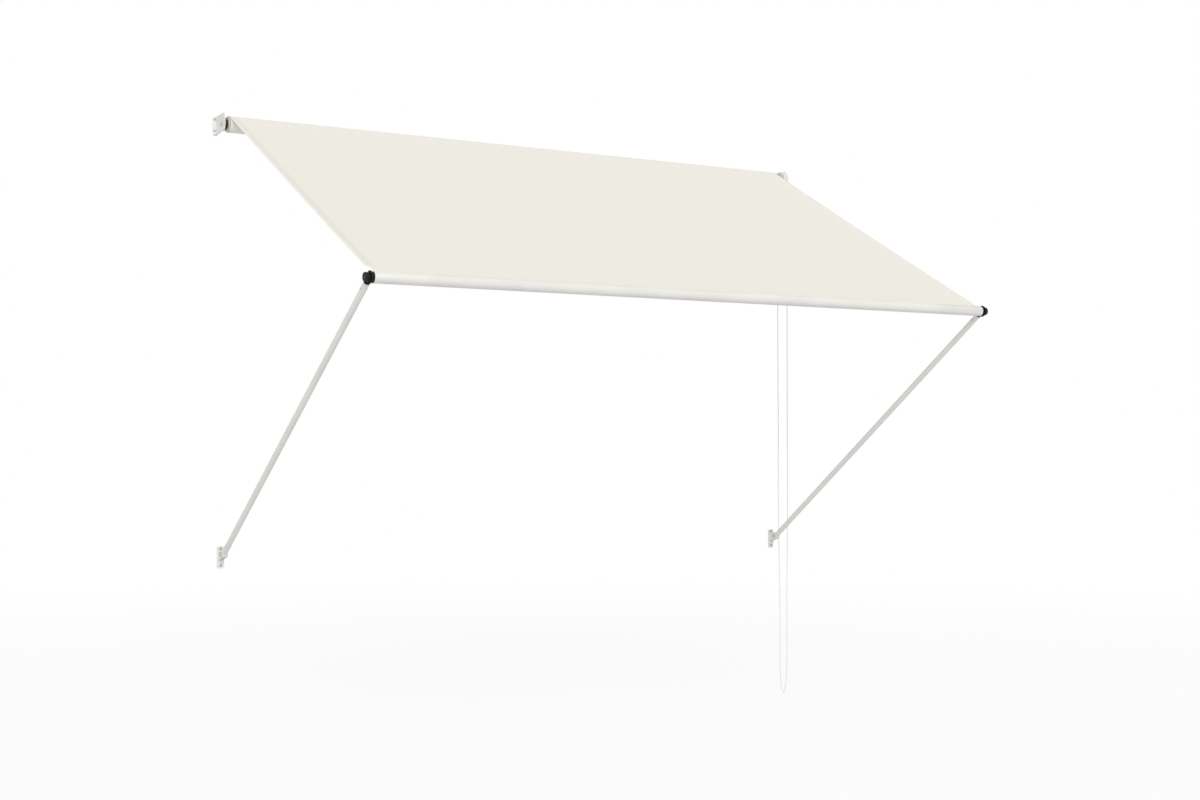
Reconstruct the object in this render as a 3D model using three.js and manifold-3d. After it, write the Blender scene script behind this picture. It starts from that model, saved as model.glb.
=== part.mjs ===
// Wall-mounted drop-arm awning with a chain-driven fabric roller, shown fully let out.
// Millimetres. X runs along the wall, +Y goes into the wall, Z is up.
// The origin is the centre of the left top bracket's wall face, level with the roller axis.
import * as THREE from "three";
import { mergeVertices } from "three/addons/utils/BufferGeometryUtils.js";
import Module from "manifold-3d";

const wasm = await Module();
wasm.setup();

// ---- driving dimensions ----
const GAP = 0.3; // air left wherever two pieces meet
const ARM_LENGTH = 1500; // lower pivot to front bar axis, and lower pivot to roller axis
const ARM_SPREAD = 53.75; // degrees between the line pivot-roller and the arm
const ROLLER_OUT = 65; // roller axis from the wall
const PIVOT_OUT = 38; // lower pivots from the wall
const LEFT_ARM_X = 13; // plane of the left arm
const RIGHT_ARM_X = 2424; // plane of the right arm
const FABRIC_LEFT = 10; // side edges of the cloth
const FABRIC_RIGHT = 2390;
const FABRIC_THICK = 1.2;
const TUBE_RADIUS = 27; // roller tube
const TUBE_WALL = 1.2;
const TUBE_LEFT = 8;
const TUBE_RIGHT = 2419;
const ROLL_RADIUS = 29; // turns of cloth left on the tube
const BAR_RADIUS = 18; // front bar
const BAR_WALL = 1.5;
const ARM_RADIUS = 10; // arm tubes
const ARM_WALL = 1.1;
const CHAIN_X = 2440; // plane of the chain and of its wheel
const CHAIN_RADIUS = 2.25;
const WHEEL_PITCH = 29; // radius at which the chain runs on its wheel

// ---- derived positions ----
const rad = THREE.MathUtils.degToRad;
const PIVOT_DROP = Math.sqrt(ARM_LENGTH ** 2 - (ROLLER_OUT - PIVOT_OUT) ** 2);
const ARM_ANGLE = Math.asin((ROLLER_OUT - PIVOT_OUT) / ARM_LENGTH) + rad(ARM_SPREAD);
const BAR_Y = -PIVOT_OUT - ARM_LENGTH * Math.sin(ARM_ANGLE);
const BAR_Z = -PIVOT_DROP + ARM_LENGTH * Math.cos(ARM_ANGLE);
const CHORD = Math.hypot(BAR_Y + ROLLER_OUT, BAR_Z);
const CHORD_SLOPE = Math.atan2(-BAR_Z, -(BAR_Y + ROLLER_OUT));
const CLOTH_SLOPE = CHORD_SLOPE + Math.asin((ROLL_RADIUS - BAR_RADIUS) / CHORD);
const CLOTH_REACH = Math.sqrt(CHORD ** 2 - (ROLL_RADIUS - BAR_RADIUS) ** 2);

// ---- materials ----
const FINISHES = {
  coat: { color: 0xecebe6, roughness: 0.45, metalness: 0.0 },
  cloth: { color: 0xedeae2, roughness: 0.95, metalness: 0.0 },
  black: { color: 0x1a1a18, roughness: 0.5, metalness: 0.0 },
  grey: { color: 0xb4b5b1, roughness: 0.5, metalness: 0.0 },
  white: { color: 0xf0f0ec, roughness: 0.4, metalness: 0.0 },
  zinc: { color: 0xb9bcbe, roughness: 0.35, metalness: 1.0 },
  steel: { color: 0x8f9294, roughness: 0.3, metalness: 1.0 },
};

// ---- solids ----
const ROUND = 24; // sides of a large round piece
const MID_ROUND = 16; // sides of a pin or a sleeve
const SMALL_ROUND = 10; // sides of a screw or a hole

// shares vertices between faces and drops triangles that have shrunk to a line
function mergedMesh(geometry) {
  const bare = geometry.clone();
  bare.deleteAttribute("normal");
  bare.deleteAttribute("uv");
  const merged = mergeVertices(bare, 1e-4);
  const index = merged.index.array;
  const kept = [];
  for (let i = 0; i < index.length; i += 3) {
    const [a, b, c] = index.slice(i, i + 3);
    if (a !== b && b !== c && a !== c) kept.push(a, b, c);
  }
  const points = new Float32Array(merged.attributes.position.array);
  return { points, index: new Uint32Array(kept) };
}

function signedVolume(points, index) {
  let total = 0;
  for (let i = 0; i < index.length; i += 3) {
    const [a, b, c] = [index[i] * 3, index[i + 1] * 3, index[i + 2] * 3];
    total += points[a] * (points[b + 1] * points[c + 2] - points[b + 2] * points[c + 1]);
    total += points[a + 1] * (points[b + 2] * points[c] - points[b] * points[c + 2]);
    total += points[a + 2] * (points[b] * points[c + 1] - points[b + 1] * points[c]);
  }
  return total;
}

// turns a closed geometry into a manifold solid, faces outwards
function solid(geometry) {
  const { points, index } = mergedMesh(geometry);
  if (signedVolume(points, index) < 0) {
    for (let i = 0; i < index.length; i += 3) {
      [index[i], index[i + 1]] = [index[i + 1], index[i]];
    }
  }
  return new wasm.Manifold(new wasm.Mesh({ numProp: 3, vertProperties: points, triVerts: index }));
}

// joins the first list of geometries and cuts the second list away
function build(joined, cuts = []) {
  let body = solid(joined[0]);
  for (const piece of joined.slice(1)) body = body.add(solid(piece));
  for (const piece of cuts) body = body.subtract(solid(piece));
  const mesh = body.getMesh();
  const geometry = new THREE.BufferGeometry();
  geometry.setAttribute("position", new THREE.BufferAttribute(mesh.vertProperties, 3));
  geometry.setIndex(new THREE.BufferAttribute(mesh.triVerts, 1));
  return geometry;
}

function box(x0, x1, y0, y1, z0, z1) {
  const geometry = new THREE.BoxGeometry(x1 - x0, y1 - y0, z1 - z0);
  return geometry.translate((x0 + x1) / 2, (y0 + y1) / 2, (z0 + z1) / 2);
}

// round bar along X, its axis at y, z
function rodX(radius, x0, x1, y = 0, z = 0, sides = SMALL_ROUND) {
  const geometry = new THREE.CylinderGeometry(radius, radius, x1 - x0, sides);
  return geometry.rotateZ(Math.PI / 2).translate((x0 + x1) / 2, y, z);
}

// round bar along Z
function rodZ(radius, z0, z1, sides = SMALL_ROUND) {
  const geometry = new THREE.CylinderGeometry(radius, radius, z1 - z0, sides);
  return geometry.rotateX(Math.PI / 2).translate(0, 0, (z0 + z1) / 2);
}

// round bar along Y, its axis at x, z
function rodY(radius, y0, y1, x = 0, z = 0, sides = SMALL_ROUND) {
  return new THREE.CylinderGeometry(radius, radius, y1 - y0, sides).translate(x, (y0 + y1) / 2, z);
}

// revolves [along, radius] points round the X axis
function turnedX(profile, sides = ROUND) {
  const points = profile.map(([along, radius]) => new THREE.Vector2(radius, along));
  return new THREE.LatheGeometry(points, sides).rotateZ(-Math.PI / 2);
}

// ring of rectangular section round the X axis
function ringX(inner, outer, x0, x1, sides = ROUND) {
  return turnedX([[x0, inner], [x0, outer], [x1, outer], [x1, inner], [x0, inner]], sides);
}

// ring of rectangular section round the Z axis
function ringZ(inner, outer, z0, z1, sides = ROUND) {
  return ringX(inner, outer, z0, z1, sides).rotateY(-Math.PI / 2);
}

// a shape drawn in Y and Z, given thickness from x0 to x1
function slabX(shape, x0, x1) {
  const options = { depth: x1 - x0, bevelEnabled: false, curveSegments: 8 };
  const geometry = new THREE.ExtrudeGeometry(shape, options);
  const turn = new THREE.Matrix4().makeBasis(
    new THREE.Vector3(0, 1, 0), new THREE.Vector3(0, 0, 1), new THREE.Vector3(1, 0, 0));
  return geometry.applyMatrix4(turn).translate(x0, 0, 0);
}

// a shape drawn in X and Z, given thickness from y0 to y1
function slabY(shape, y0, y1) {
  const options = { depth: y1 - y0, bevelEnabled: false, curveSegments: 6 };
  const geometry = new THREE.ExtrudeGeometry(shape, options);
  return geometry.rotateX(Math.PI / 2).translate(0, y1, 0);
}

function roundedRect(width, height, radius, centreX, centreY) {
  const [x, y] = [centreX - width / 2, centreY - height / 2];
  const shape = new THREE.Shape();
  shape.moveTo(x + radius, y);
  shape.lineTo(x + width - radius, y);
  shape.quadraticCurveTo(x + width, y, x + width, y + radius);
  shape.lineTo(x + width, y + height - radius);
  shape.quadraticCurveTo(x + width, y + height, x + width - radius, y + height);
  shape.lineTo(x + radius, y + height);
  shape.quadraticCurveTo(x, y + height, x, y + height - radius);
  shape.lineTo(x, y + radius);
  shape.quadraticCurveTo(x, y, x + radius, y);
  return shape;
}

// hexagon prism along X, width across corners
function hexX(corners, x0, x1) {
  return rodX(corners / 2, x0, x1, 0, 0, 6);
}

// ---- wall brackets and their screws ----
const PLATE_THICK = 3;
const TOP_PLATE = { width: 48, height: 66, corner: 5, screwX: -18.5, screws: [25, -15], hole: 2.4 };
const PLATE_CUT = { start: [-9, -31], end: [13, -12.5] }; // lower inboard corner, cut clear of the roller
const CHEEK = { inner: 11, outer: 13.5, back: -1, top: 33, lift: 4, corner: 12, hole: 6.3, web: 2 };
const LOWER_PLATE = { width: 26.5, height: 77, corner: 6, centre: -14, screws: [18, -41], hole: 3 };
const CLEVIS = { inner: 6.8, outer: 9.3, nose: 14, low: -24, high: 12, hole: 4.3 };

// side plate of a top bracket: level with the wall plate, rising a little to a rounded nose
function cheekShape(reach) {
  const { back, top, lift, corner } = CHEEK;
  const [front, low, high] = [-reach, -top + 2 * lift, top + lift];
  const shape = new THREE.Shape();
  shape.moveTo(back, -top);
  shape.lineTo(front + corner, low);
  shape.quadraticCurveTo(front, low, front, low + corner);
  shape.lineTo(front, high - corner);
  shape.quadraticCurveTo(front, high, front + corner, high);
  shape.lineTo(back, top);
  return shape;
}

// folded stiffener under the side plate, widest at the wall
function bottomWeb(reach) {
  const { outer, back, top, lift, corner, web } = CHEEK;
  const shape = new THREE.Shape();
  shape.moveTo(-TOP_PLATE.width / 2 + 1, back);
  shape.lineTo(-outer + 1, back);
  shape.lineTo(-outer + 1, -reach + corner + 4);
  const geometry = new THREE.ExtrudeGeometry(shape, { depth: web, bevelEnabled: false });
  return geometry.rotateX(-Math.atan2(2 * lift, reach - corner)).translate(0, 0, -top);
}

function plateCut() {
  const { start, end } = PLATE_CUT;
  const [right, low] = [TOP_PLATE.width, -TOP_PLATE.height];
  const shape = new THREE.Shape();
  shape.moveTo(...start);
  shape.lineTo(start[0], low);
  shape.lineTo(right, low);
  shape.lineTo(right, end[1]);
  shape.lineTo(...end);
  return shape;
}

// pressed bracket; sideScrews are the heights of extra holes in its side plate
function topBracket(reach, sideScrews = []) {
  const { width, height, corner, screwX, screws, hole } = TOP_PLATE;
  const wallPlate = slabY(roundedRect(width, height, corner, 0, 0), -PLATE_THICK, 0);
  const sidePlate = slabX(cheekShape(reach), -CHEEK.outer, -CHEEK.inner);
  const [left, right] = [-CHEEK.outer - 1, -CHEEK.inner + 1];
  const cuts = [
    rodX(CHEEK.hole, left, right, -ROLLER_OUT, 0, MID_ROUND),
    slabY(plateCut(), -PLATE_THICK - 1, 1),
    ...screws.map((z) => rodY(hole, -PLATE_THICK - 1, 1, screwX, z)),
    ...sideScrews.map((z) => rodX(BASE.screwHole, left, right, -ROLLER_OUT, z)),
  ];
  return build([wallPlate, sidePlate, bottomWeb(reach)], cuts);
}

function mirrored(geometry) {
  return build([geometry.clone().scale(-1, 1, 1)]);
}

// plate with two ears that carry the arm's pivot; Z = 0 at the pivot
function lowerBracket() {
  const { width, height, corner, centre, screws, hole } = LOWER_PLATE;
  const { inner, outer, nose, low, high } = CLEVIS;
  const wallPlate = slabY(roundedRect(width, height, corner, 0, centre), -PLATE_THICK, 0);
  const ear = new THREE.Shape();
  ear.moveTo(-1, low);
  ear.lineTo(-PIVOT_OUT, -nose);
  ear.absarc(-PIVOT_OUT, 0, nose, -Math.PI / 2, Math.PI / 2, true);
  ear.lineTo(-1, high);
  const cuts = screws.map((z) => rodY(hole, -PLATE_THICK - 1, 1, 0, z));
  cuts.push(rodX(CLEVIS.hole, -outer - 1, outer + 1, -PIVOT_OUT));
  return build([wallPlate, slabX(ear, -outer, -inner), slabX(ear, inner, outer)], cuts);
}

// two crossed slots for a screwdriver, sunk into a head that faces -X
function crossRecess(deepest, half, blade) {
  const outside = deepest - 5;
  return [
    box(outside, deepest, -half, half, -blade, blade),
    box(outside, deepest, -blade, blade, -half, half),
  ];
}

// flange-head screw along Y with a cross recess, head towards -Y, its shank ending at the wall face
const LOWER_SCREW = { flange: 6, rim: 0.9, dome: 4.7, head: 4, shank: 2.4, tip: -0.4, recess: 2.6 };
const TOP_SCREW = { flange: 4.4, rim: 0.8, dome: 3.5, head: 3.2, shank: 2, tip: -0.4, recess: 2 };

function wallScrew({ flange, rim, dome, head, shank, tip, recess }) {
  const seat = -PLATE_THICK - GAP;
  const top = seat - head;
  const profile = [
    [top, 0], [top + 0.2, dome / 2], [top + 1.2, dome - 0.5], [seat - rim - 0.2, dome],
    [seat - rim, flange], [seat, flange], [seat, shank], [tip, shank], [tip, 0],
  ];
  const cuts = crossRecess(seat - head / 2, recess, 0.6);
  return build([turnedX(profile, SMALL_ROUND)], cuts).rotateZ(Math.PI / 2);
}

// ---- roller ----
const PLUG = { flange: 26.3, lip: 4, spigot: 25.4, shell: 22.5, hub: 11, bore: 6.4, depth: 40, web: 3 };
const GROOVE = { centre: 23.2, radius: 2.6, boss: 3.7, slot: 1.8, spline: 2.2, turn: 200 };
const PIN = { radius: 6, head: 8, headThick: 2, reach: 46 };
const SPACER = { rim: 25, thick: 2, neck: 13 };
const RING = { outer: 17, clearance: 1.3 };

// point on a circle round the X axis, degrees counted from +Z towards -Y
function aroundX(radius, degrees) {
  return [-radius * Math.sin(rad(degrees)), radius * Math.cos(rad(degrees))];
}

// tube with a keyhole groove along it that takes the cloth's beaded edge
function groovedTube(outer, wall, x0, x1, groove) {
  const { centre, radius, boss, slot, turn } = groove;
  const [y, z] = aroundX(centre, turn);
  const shell = ringX(outer - wall, outer, x0, x1);
  const lobe = rodX(boss, x0, x1, y, z, SMALL_ROUND);
  const bore = rodX(radius, x0 - 1, x1 + 1, y, z, SMALL_ROUND);
  const mouth = box(x0 - 1, x1 + 1, -slot / 2, slot / 2, centre, outer + 1).rotateX(rad(turn));
  return build([shell, lobe], [bore, mouth]);
}

function spline(groove, x0, x1) {
  const [y, z] = aroundX(groove.centre, groove.turn);
  return rodX(groove.spline, x0, x1, y, z, SMALL_ROUND);
}

// moulded cup that closes a roller end and turns on the idle pin
function idlePlug() {
  const { flange, lip, spigot, shell, hub, bore, depth, web } = PLUG;
  const x0 = TUBE_LEFT - lip;
  const face = TUBE_LEFT - GAP;
  const end = TUBE_LEFT + depth;
  const hubEnd = end - 6;
  const profile = [
    [x0, bore], [x0, flange - 1], [x0 + 1, flange], [face, flange], [face, spigot],
    [end - 2, spigot], [end, spigot - 1.5], [end, shell], [face + web, shell], [face + web, hub],
    [hubEnd, hub], [hubEnd, bore], [x0, bore],
  ];
  const [y, z] = aroundX(GROOVE.centre, GROOVE.turn);
  return build([turnedX(profile)], [rodX(GROOVE.boss + GAP, face, end + 1, y, z)]);
}

function idlePin() {
  const { radius, head, headThick, reach } = PIN;
  const seat = -CHEEK.outer - GAP;
  const face = seat - headThick;
  const profile = [
    [face, 0], [face, head - 1.2], [face + 1.2, head], [seat, head], [seat, radius],
    [reach - 2, radius], [reach, radius - 2], [reach, 0],
  ];
  return turnedX(profile, MID_ROUND);
}

function idleSpacer() {
  const x0 = -CHEEK.inner + 2;
  const x1 = TUBE_LEFT - PLUG.lip - GAP;
  const { bore } = PLUG;
  const { rim, thick, neck } = SPACER;
  const profile = [
    [x0, bore], [x0, rim - 1], [x0 + 1, rim], [x0 + thick, rim], [x0 + thick + 1, neck],
    [x1, neck], [x1, bore], [x0, bore],
  ];
  return turnedX(profile, MID_ROUND);
}

// plain ring on the spacer's neck, between its rim and the end of the roller
function idleRing() {
  const x0 = -CHEEK.inner + 2 + SPACER.thick + RING.clearance;
  const x1 = TUBE_LEFT - PLUG.lip - GAP;
  return ringX(SPACER.neck + GAP, RING.outer, x0, x1);
}

// open spring clip that keeps the idle pin in the side plate
function pinClip() {
  const x0 = -CHEEK.inner + GAP;
  return build([ringX(PIN.radius + GAP, 9.5, x0, x0 + 1.2, MID_ROUND)], [box(-20, 20, -3, 3, -12, 0)]);
}

// ---- chain drive, built on the plane of the chain wheel ----
const WHEEL = {
  groove: 2.8, side: 4.4, flange: 31, root: 25, rib: 26.2, teeth: 30, hub: 14, bore: 10.9, sleeve: 65,
};
const COVER = { outer: 35, inner: 33.4, left: -12.5, right: 4.7, skin: 1.5, hole: 16.5, openBelow: -9 };
const BASE = { left: 5, right: 7.6, screwZ: 22, screwHole: 1.9 };
const AXLE = { core: 8, stub: 5.7, left: -68, thread: 18 };
const SPRING = { wire: 0.9, mean: 9.4, pitch: 2.4, turns: 6, start: -60 };
const KEYS = 3; // keys on the sleeve that drive the roller's adaptor

// ribbed hub between two round flanges, with a keyed sleeve that reaches into the roller
function chainWheel() {
  const { groove, side, flange, root, rib, teeth, hub, bore, sleeve } = WHEEL;
  const star = new THREE.Shape();
  for (let i = 0; i < teeth; i += 1) {
    const step = (2 * Math.PI) / teeth;
    for (const [offset, radius] of [[-0.5, rib], [-0.3, root], [0.3, root], [0.5, rib]]) {
      const angle = (i + offset * 0.92) * step;
      const [x, y] = [radius * Math.cos(angle), radius * Math.sin(angle)];
      if (i === 0 && offset === -0.5) star.moveTo(x, y);
      else star.lineTo(x, y);
    }
  }
  const flanges = [ringX(bore - 2, flange, -side, -groove), ringX(bore - 2, flange, groove, side)];
  const keys = [];
  for (let i = 0; i < KEYS; i += 1) {
    const key = box(-sleeve, -side - 20, -1.5, 1.5, hub - 1, hub + 2);
    keys.push(key.rotateX((i * 2 * Math.PI) / KEYS));
  }
  const core = slabX(star, -groove - 0.2, groove + 0.2);
  const sleeveRod = rodX(hub, -sleeve, -side + 0.5, 0, 0, ROUND);
  return build([core, ...flanges, sleeveRod, ...keys], [rodX(bore, -sleeve - 1, side + 1, 0, 0, ROUND)]);
}

// moulded adaptor that carries the roller tube on the wheel's sleeve
function drivePlug() {
  const { flange, spigot, shell, depth } = PLUG;
  const x0 = TUBE_RIGHT - CHAIN_X - depth - 4;
  const face = TUBE_RIGHT - CHAIN_X + GAP;
  const x1 = face + 2.7;
  const inner = WHEEL.hub + GAP;
  const profile = [
    [x0, inner], [x0, 19.5], [face - 3, 19.5], [face - 3, shell], [x0 - 2, shell], [x0 - 2, spigot - 1.5],
    [x0, spigot], [face, spigot], [face, flange], [x1, flange], [x1, inner], [x0, inner],
  ];
  const [y, z] = aroundX(GROOVE.centre, GROOVE.turn);
  const cuts = [rodX(GROOVE.boss + GAP, x0 - 4, face, y, z)];
  for (let i = 0; i < KEYS; i += 1) {
    const keyway = box(x0 - 1, x1 + 1, -1.8, 1.8, inner - 1, WHEEL.hub + 2.3);
    cuts.push(keyway.rotateX((i * 2 * Math.PI) / KEYS));
  }
  return build([turnedX(profile)], cuts);
}

// round hood over the wheel, open below where the two strands leave it
function driveCover() {
  const { outer, inner, left, right, skin, hole, openBelow } = COVER;
  const profile = [
    [left, hole], [left, outer - 2], [left + 2, outer], [right, outer], [right, inner], [left + skin, inner],
    [left + skin, hole], [left, hole],
  ];
  return build([turnedX(profile)], [box(left + skin, right + 1, -40, 40, -40, openBelow)]);
}

function driveBase() {
  const { left, right, screwZ, screwHole } = BASE;
  const disc = ringX(AXLE.stub + GAP, COVER.outer, left, right);
  return build([disc], [screwZ, -screwZ].map((z) => rodX(screwHole, left + 0.6, right + 1, 0, z)));
}

// fixed core: the brake spring grips it, and its threaded stub goes through base and side plate
function driveAxle() {
  const { core, stub, left, thread } = AXLE;
  const shoulder = BASE.left - GAP;
  const profile = [
    [left, 0], [left, core - 1], [left + 1, core], [shoulder, core], [shoulder, stub],
    [thread, stub], [thread, 0],
  ];
  return turnedX(profile, MID_ROUND);
}

// a nut or screw head seats here, outside the side plate that the base is screwed to
const OUTER_SEAT = BASE.right + GAP + CHEEK.outer - CHEEK.inner + GAP;

function axleNut() {
  const x0 = OUTER_SEAT;
  return build([hexX(21, x0, x0 + 5)], [rodX(AXLE.stub + GAP, x0 - 1, x0 + 6, 0, 0, MID_ROUND)]);
}

// closely wound wrap spring between the fixed core and the sleeve
function brakeSpring() {
  const { wire, mean, pitch, turns, start } = SPRING;
  class Helix extends THREE.Curve {
    getPoint(t, target = new THREE.Vector3()) {
      const angle = t * turns * 2 * Math.PI;
      return target.set(start + t * turns * pitch, mean * Math.cos(angle), mean * Math.sin(angle));
    }
  }
  const section = new THREE.Shape();
  section.absarc(0, 0, wire, 0, Math.PI * 2);
  return new THREE.ExtrudeGeometry(section,
    { steps: turns * 10, extrudePath: new Helix(), curveSegments: 3, bevelEnabled: false });
}

// pan-head screw along X, its head outside the side plate
function baseScrew() {
  const seat = OUTER_SEAT;
  const tip = BASE.left + 1;
  const shank = 1.5;
  const profile = [
    [tip, 0], [tip, shank], [seat, shank], [seat, 3.4], [seat + 1.2, 3.2], [seat + 2.2, 2], [seat + 2.4, 0],
  ];
  return turnedX(profile, SMALL_ROUND);
}

// ---- bead chain ----
function roundSection(radius) {
  const section = new THREE.Shape();
  section.absarc(0, 0, radius, 0, Math.PI * 2);
  return section;
}

function alongPath(path, steps) {
  return new THREE.ExtrudeGeometry(roundSection(CHAIN_RADIUS),
    { steps, extrudePath: path, curveSegments: 4, bevelEnabled: false });
}

// the half turn of chain that lies on the wheel
function chainOverWheel() {
  class Arch extends THREE.Curve {
    getPoint(t, target = new THREE.Vector3()) {
      const angle = t * Math.PI;
      return target.set(0, -WHEEL_PITCH * Math.cos(angle), WHEEL_PITCH * Math.sin(angle));
    }
  }
  return alongPath(new Arch(), SMALL_ROUND);
}

// hanging loop, its route chosen by hand: [out from the wheel's centre line, height]
const CHAIN_ROUTE = [
  [-29, -GAP], [-29, -60], [-29.5, -160], [-31, -340], [-32.5, -560], [-32, -800], [-31.5, -1040],
  [-32, -1280], [-31, -1500], [-27, -1660], [-25, -1780], [-25, -1900], [-24.5, -2000], [-22, -2075],
  [-16, -2122], [-8, -2146], [0, -2155], [8, -2147], [15, -2124], [20, -2078], [22.5, -2000],
  [22, -1900], [22, -1780], [24, -1660], [29, -1500], [31, -1280], [30, -1040], [31, -800],
  [31.5, -560], [30.5, -340], [29.5, -160], [29, -60], [29, -GAP],
];

function beadChain() {
  const points = CHAIN_ROUTE.map(([y, z]) => new THREE.Vector3(0, y, z));
  const path = new THREE.CatmullRomCurve3(points, false, "centripetal");
  return alongPath(path, 80);
}

// ---- cloth ----
const NOTCH = { width: 15, depth: 34 }; // left front corner, cut back clear of the bar end
const HEM_BACK = 6.6; // the cloth stops this far short of the bar's crown, over the groove's mouth

// flat sheet from the crown of the roll to the crown of the bar, on the roller axis frame
function canopy() {
  const width = FABRIC_RIGHT - FABRIC_LEFT;
  const front = -CLOTH_REACH + HEM_BACK;
  const shape = new THREE.Shape();
  shape.moveTo(0, 0);
  shape.lineTo(0, front + NOTCH.depth);
  shape.lineTo(NOTCH.width, front + NOTCH.depth);
  shape.lineTo(NOTCH.width, front);
  shape.lineTo(width, front);
  shape.lineTo(width, 0);
  const geometry = new THREE.ExtrudeGeometry(shape, { depth: FABRIC_THICK, bevelEnabled: false });
  return geometry.translate(FABRIC_LEFT, 0, ROLL_RADIUS + GAP);
}

// ---- front bar, on the plane of the left arm ----
const BAR_START = 10; // the bar begins and ends this far inboard of the arm planes
const BAR_GROOVE = { centre: 14, radius: 2.8, boss: 3.9, slot: 2, spline: 2.3, turn: -20 };
const KNUCKLE = {
  journal: 13, collar: 15, button: 14.2, outer: 18, half: 4.5, spigotDepth: 36, wall: 3, bore: 2,
};

// end plug of the bar: a journal that turns in the arm's eye, and a spigot in the tube; +X inboard
function barPlug(mirror) {
  const { journal, collar, half, spigotDepth, wall, bore } = KNUCKLE;
  const left = -half - GAP;
  const right = BAR_START - GAP;
  const spigot = BAR_RADIUS - BAR_WALL - GAP;
  const end = right + spigotDepth;
  const bossEnd = end / 2 - 1;
  const boss = 3 * bore;
  const profile = [
    [left, bore], [left, journal], [half + GAP, journal], [half + GAP, collar], [right, collar],
    [right, spigot], [end - 2, spigot], [end, spigot - wall / 2], [end, spigot - wall],
    [right + wall, spigot - wall], [right + wall, boss], [bossEnd, boss], [bossEnd, bore], [left, bore],
  ];
  const { centre, boss: lobe, turn } = BAR_GROOVE;
  const [y, z] = aroundX(centre, turn);
  const plug = build([turnedX(profile)], [rodX(lobe + GAP, right, end + 1, y, z)]);
  return mirror ? mirrored(plug) : plug;
}

// outer button that keeps the arm's eye on the journal, recessed for its screw
const BUTTON_RECESS = { depth: 4, mouth: 5, floor: 4.6, hole: 2.2 };

function barButton() {
  const { button, outer, half } = KNUCKLE;
  const { depth, mouth, floor, hole } = BUTTON_RECESS;
  const right = -half - 2 * GAP;
  const profile = [
    [right, hole], [right, button - 0.8], [right - 0.8, button], [-outer + 3, button],
    [-outer + 0.9, button - 0.9], [-outer, button - 3], [-outer, mouth], [-outer + depth, floor],
    [-outer + depth, hole], [right, hole],
  ];
  return turnedX(profile);
}

function buttonScrew() {
  const seat = -KNUCKLE.outer + BUTTON_RECESS.depth - GAP;
  const [shank, tip] = [1.7, 17];
  const profile = [
    [seat - 2.6, 0], [seat - 2.4, 2.2], [seat - 1.4, 3.7], [seat, 3.9], [seat, shank],
    [tip - 1, shank], [tip, 0],
  ];
  return build([turnedX(profile, SMALL_ROUND)], crossRecess(seat - 1.4, 2, 0.5));
}

// ---- arms, on the lower pivot with Z along the arm ----
const FOOT = { eye: 12, half: 6.5, neck: 8.5, tube: 20, spigotEnd: 60, bore: 4.3, rivet: 45 };
const EYE = {
  bore: 13.3, hub: 15.6, ring: 20, ringHalf: 1.4, tube: 24, collar: 3, spigot: 40, rivet: 52, lug: 9,
};
const RIVET = { shank: 2, head: 3.6, thick: 1.3 };
const CORE_RADIUS = ARM_RADIUS - ARM_WALL - GAP; // what fits inside an arm tube
const ACROSS = ARM_RADIUS + 5; // half length of a cut right through an arm

function rivetHole(z) {
  return rodX(RIVET.shank + GAP, -ACROSS, ACROSS, 0, z);
}

function armTube() {
  const bottom = FOOT.tube + GAP;
  const top = ARM_LENGTH - EYE.tube - GAP;
  const tube = ringZ(ARM_RADIUS - ARM_WALL, ARM_RADIUS, bottom, top, MID_ROUND);
  const cuts = [FOOT.rivet, ARM_LENGTH - EYE.rivet].map((z) => rivetHole(z));
  return build([tube], cuts);
}

// moulded plug in the tube's lower end with the pivot eye
function armFoot() {
  const { eye, half, neck, tube, spigotEnd, bore, rivet } = FOOT;
  const parts = [
    rodX(eye, -half, half, 0, 0, MID_ROUND),
    box(-half, half, -neck, neck, 0, tube - 2),
    rodZ(ARM_RADIUS, tube - 3, tube, MID_ROUND),
    rodZ(CORE_RADIUS, tube - 1, spigotEnd, MID_ROUND),
  ];
  return build(parts, [rodX(bore, -ACROSS, ACROSS), rivetHole(rivet)]);
}

// moulded eye on the upper end: a hub with a thin ring round the bar's journal, a short lug and a spigot,
// with Z = 0 on the bar axis
function armEye() {
  const { bore, hub, ring, ringHalf, tube, collar, spigot, rivet, lug } = EYE;
  const { half } = KNUCKLE;
  const parts = [
    rodX(hub, -half, half, 0, 0, ROUND),
    rodX(ring, -ringHalf, ringHalf, 0, 0, ROUND),
    box(-half, half, -lug, lug, -tube + 1, -hub + 3),
    rodZ(ARM_RADIUS, -tube, -tube + collar, MID_ROUND),
    rodZ(CORE_RADIUS, -tube - spigot, -tube + 1, MID_ROUND),
  ];
  return build(parts, [rodX(bore, -ACROSS, ACROSS, 0, 0, ROUND), rivetHole(-rivet)]);
}

function rivet() {
  const { shank, head, thick } = RIVET;
  const seat = ARM_RADIUS + 0.1;
  const crown = seat + thick;
  const rim = seat + thick * 0.4;
  const profile = [
    [-crown, 0], [-crown, head * 0.6], [-rim, head], [-seat, head], [-seat, shank],
    [seat, shank], [seat, head], [rim, head], [crown, head * 0.6], [crown, 0],
  ];
  return turnedX(profile, SMALL_ROUND);
}

// ---- lower pivot bolt: low round head on the right, nut on the left ----
const BOLT = { radius: 4, head: 7, headThick: 2.4, nut: 14.4, nutThick: 5, tail: 17 };

function pivotBolt() {
  const seat = CLEVIS.outer + GAP;
  const { radius, head, headThick, tail } = BOLT;
  const profile = [
    [-tail, 0], [-tail, radius - 0.8], [-tail + 0.8, radius], [seat, radius], [seat, head], [seat + 1, head],
    [seat + headThick, head - 2], [seat + headThick, 0],
  ];
  return turnedX(profile, SMALL_ROUND);
}

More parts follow.
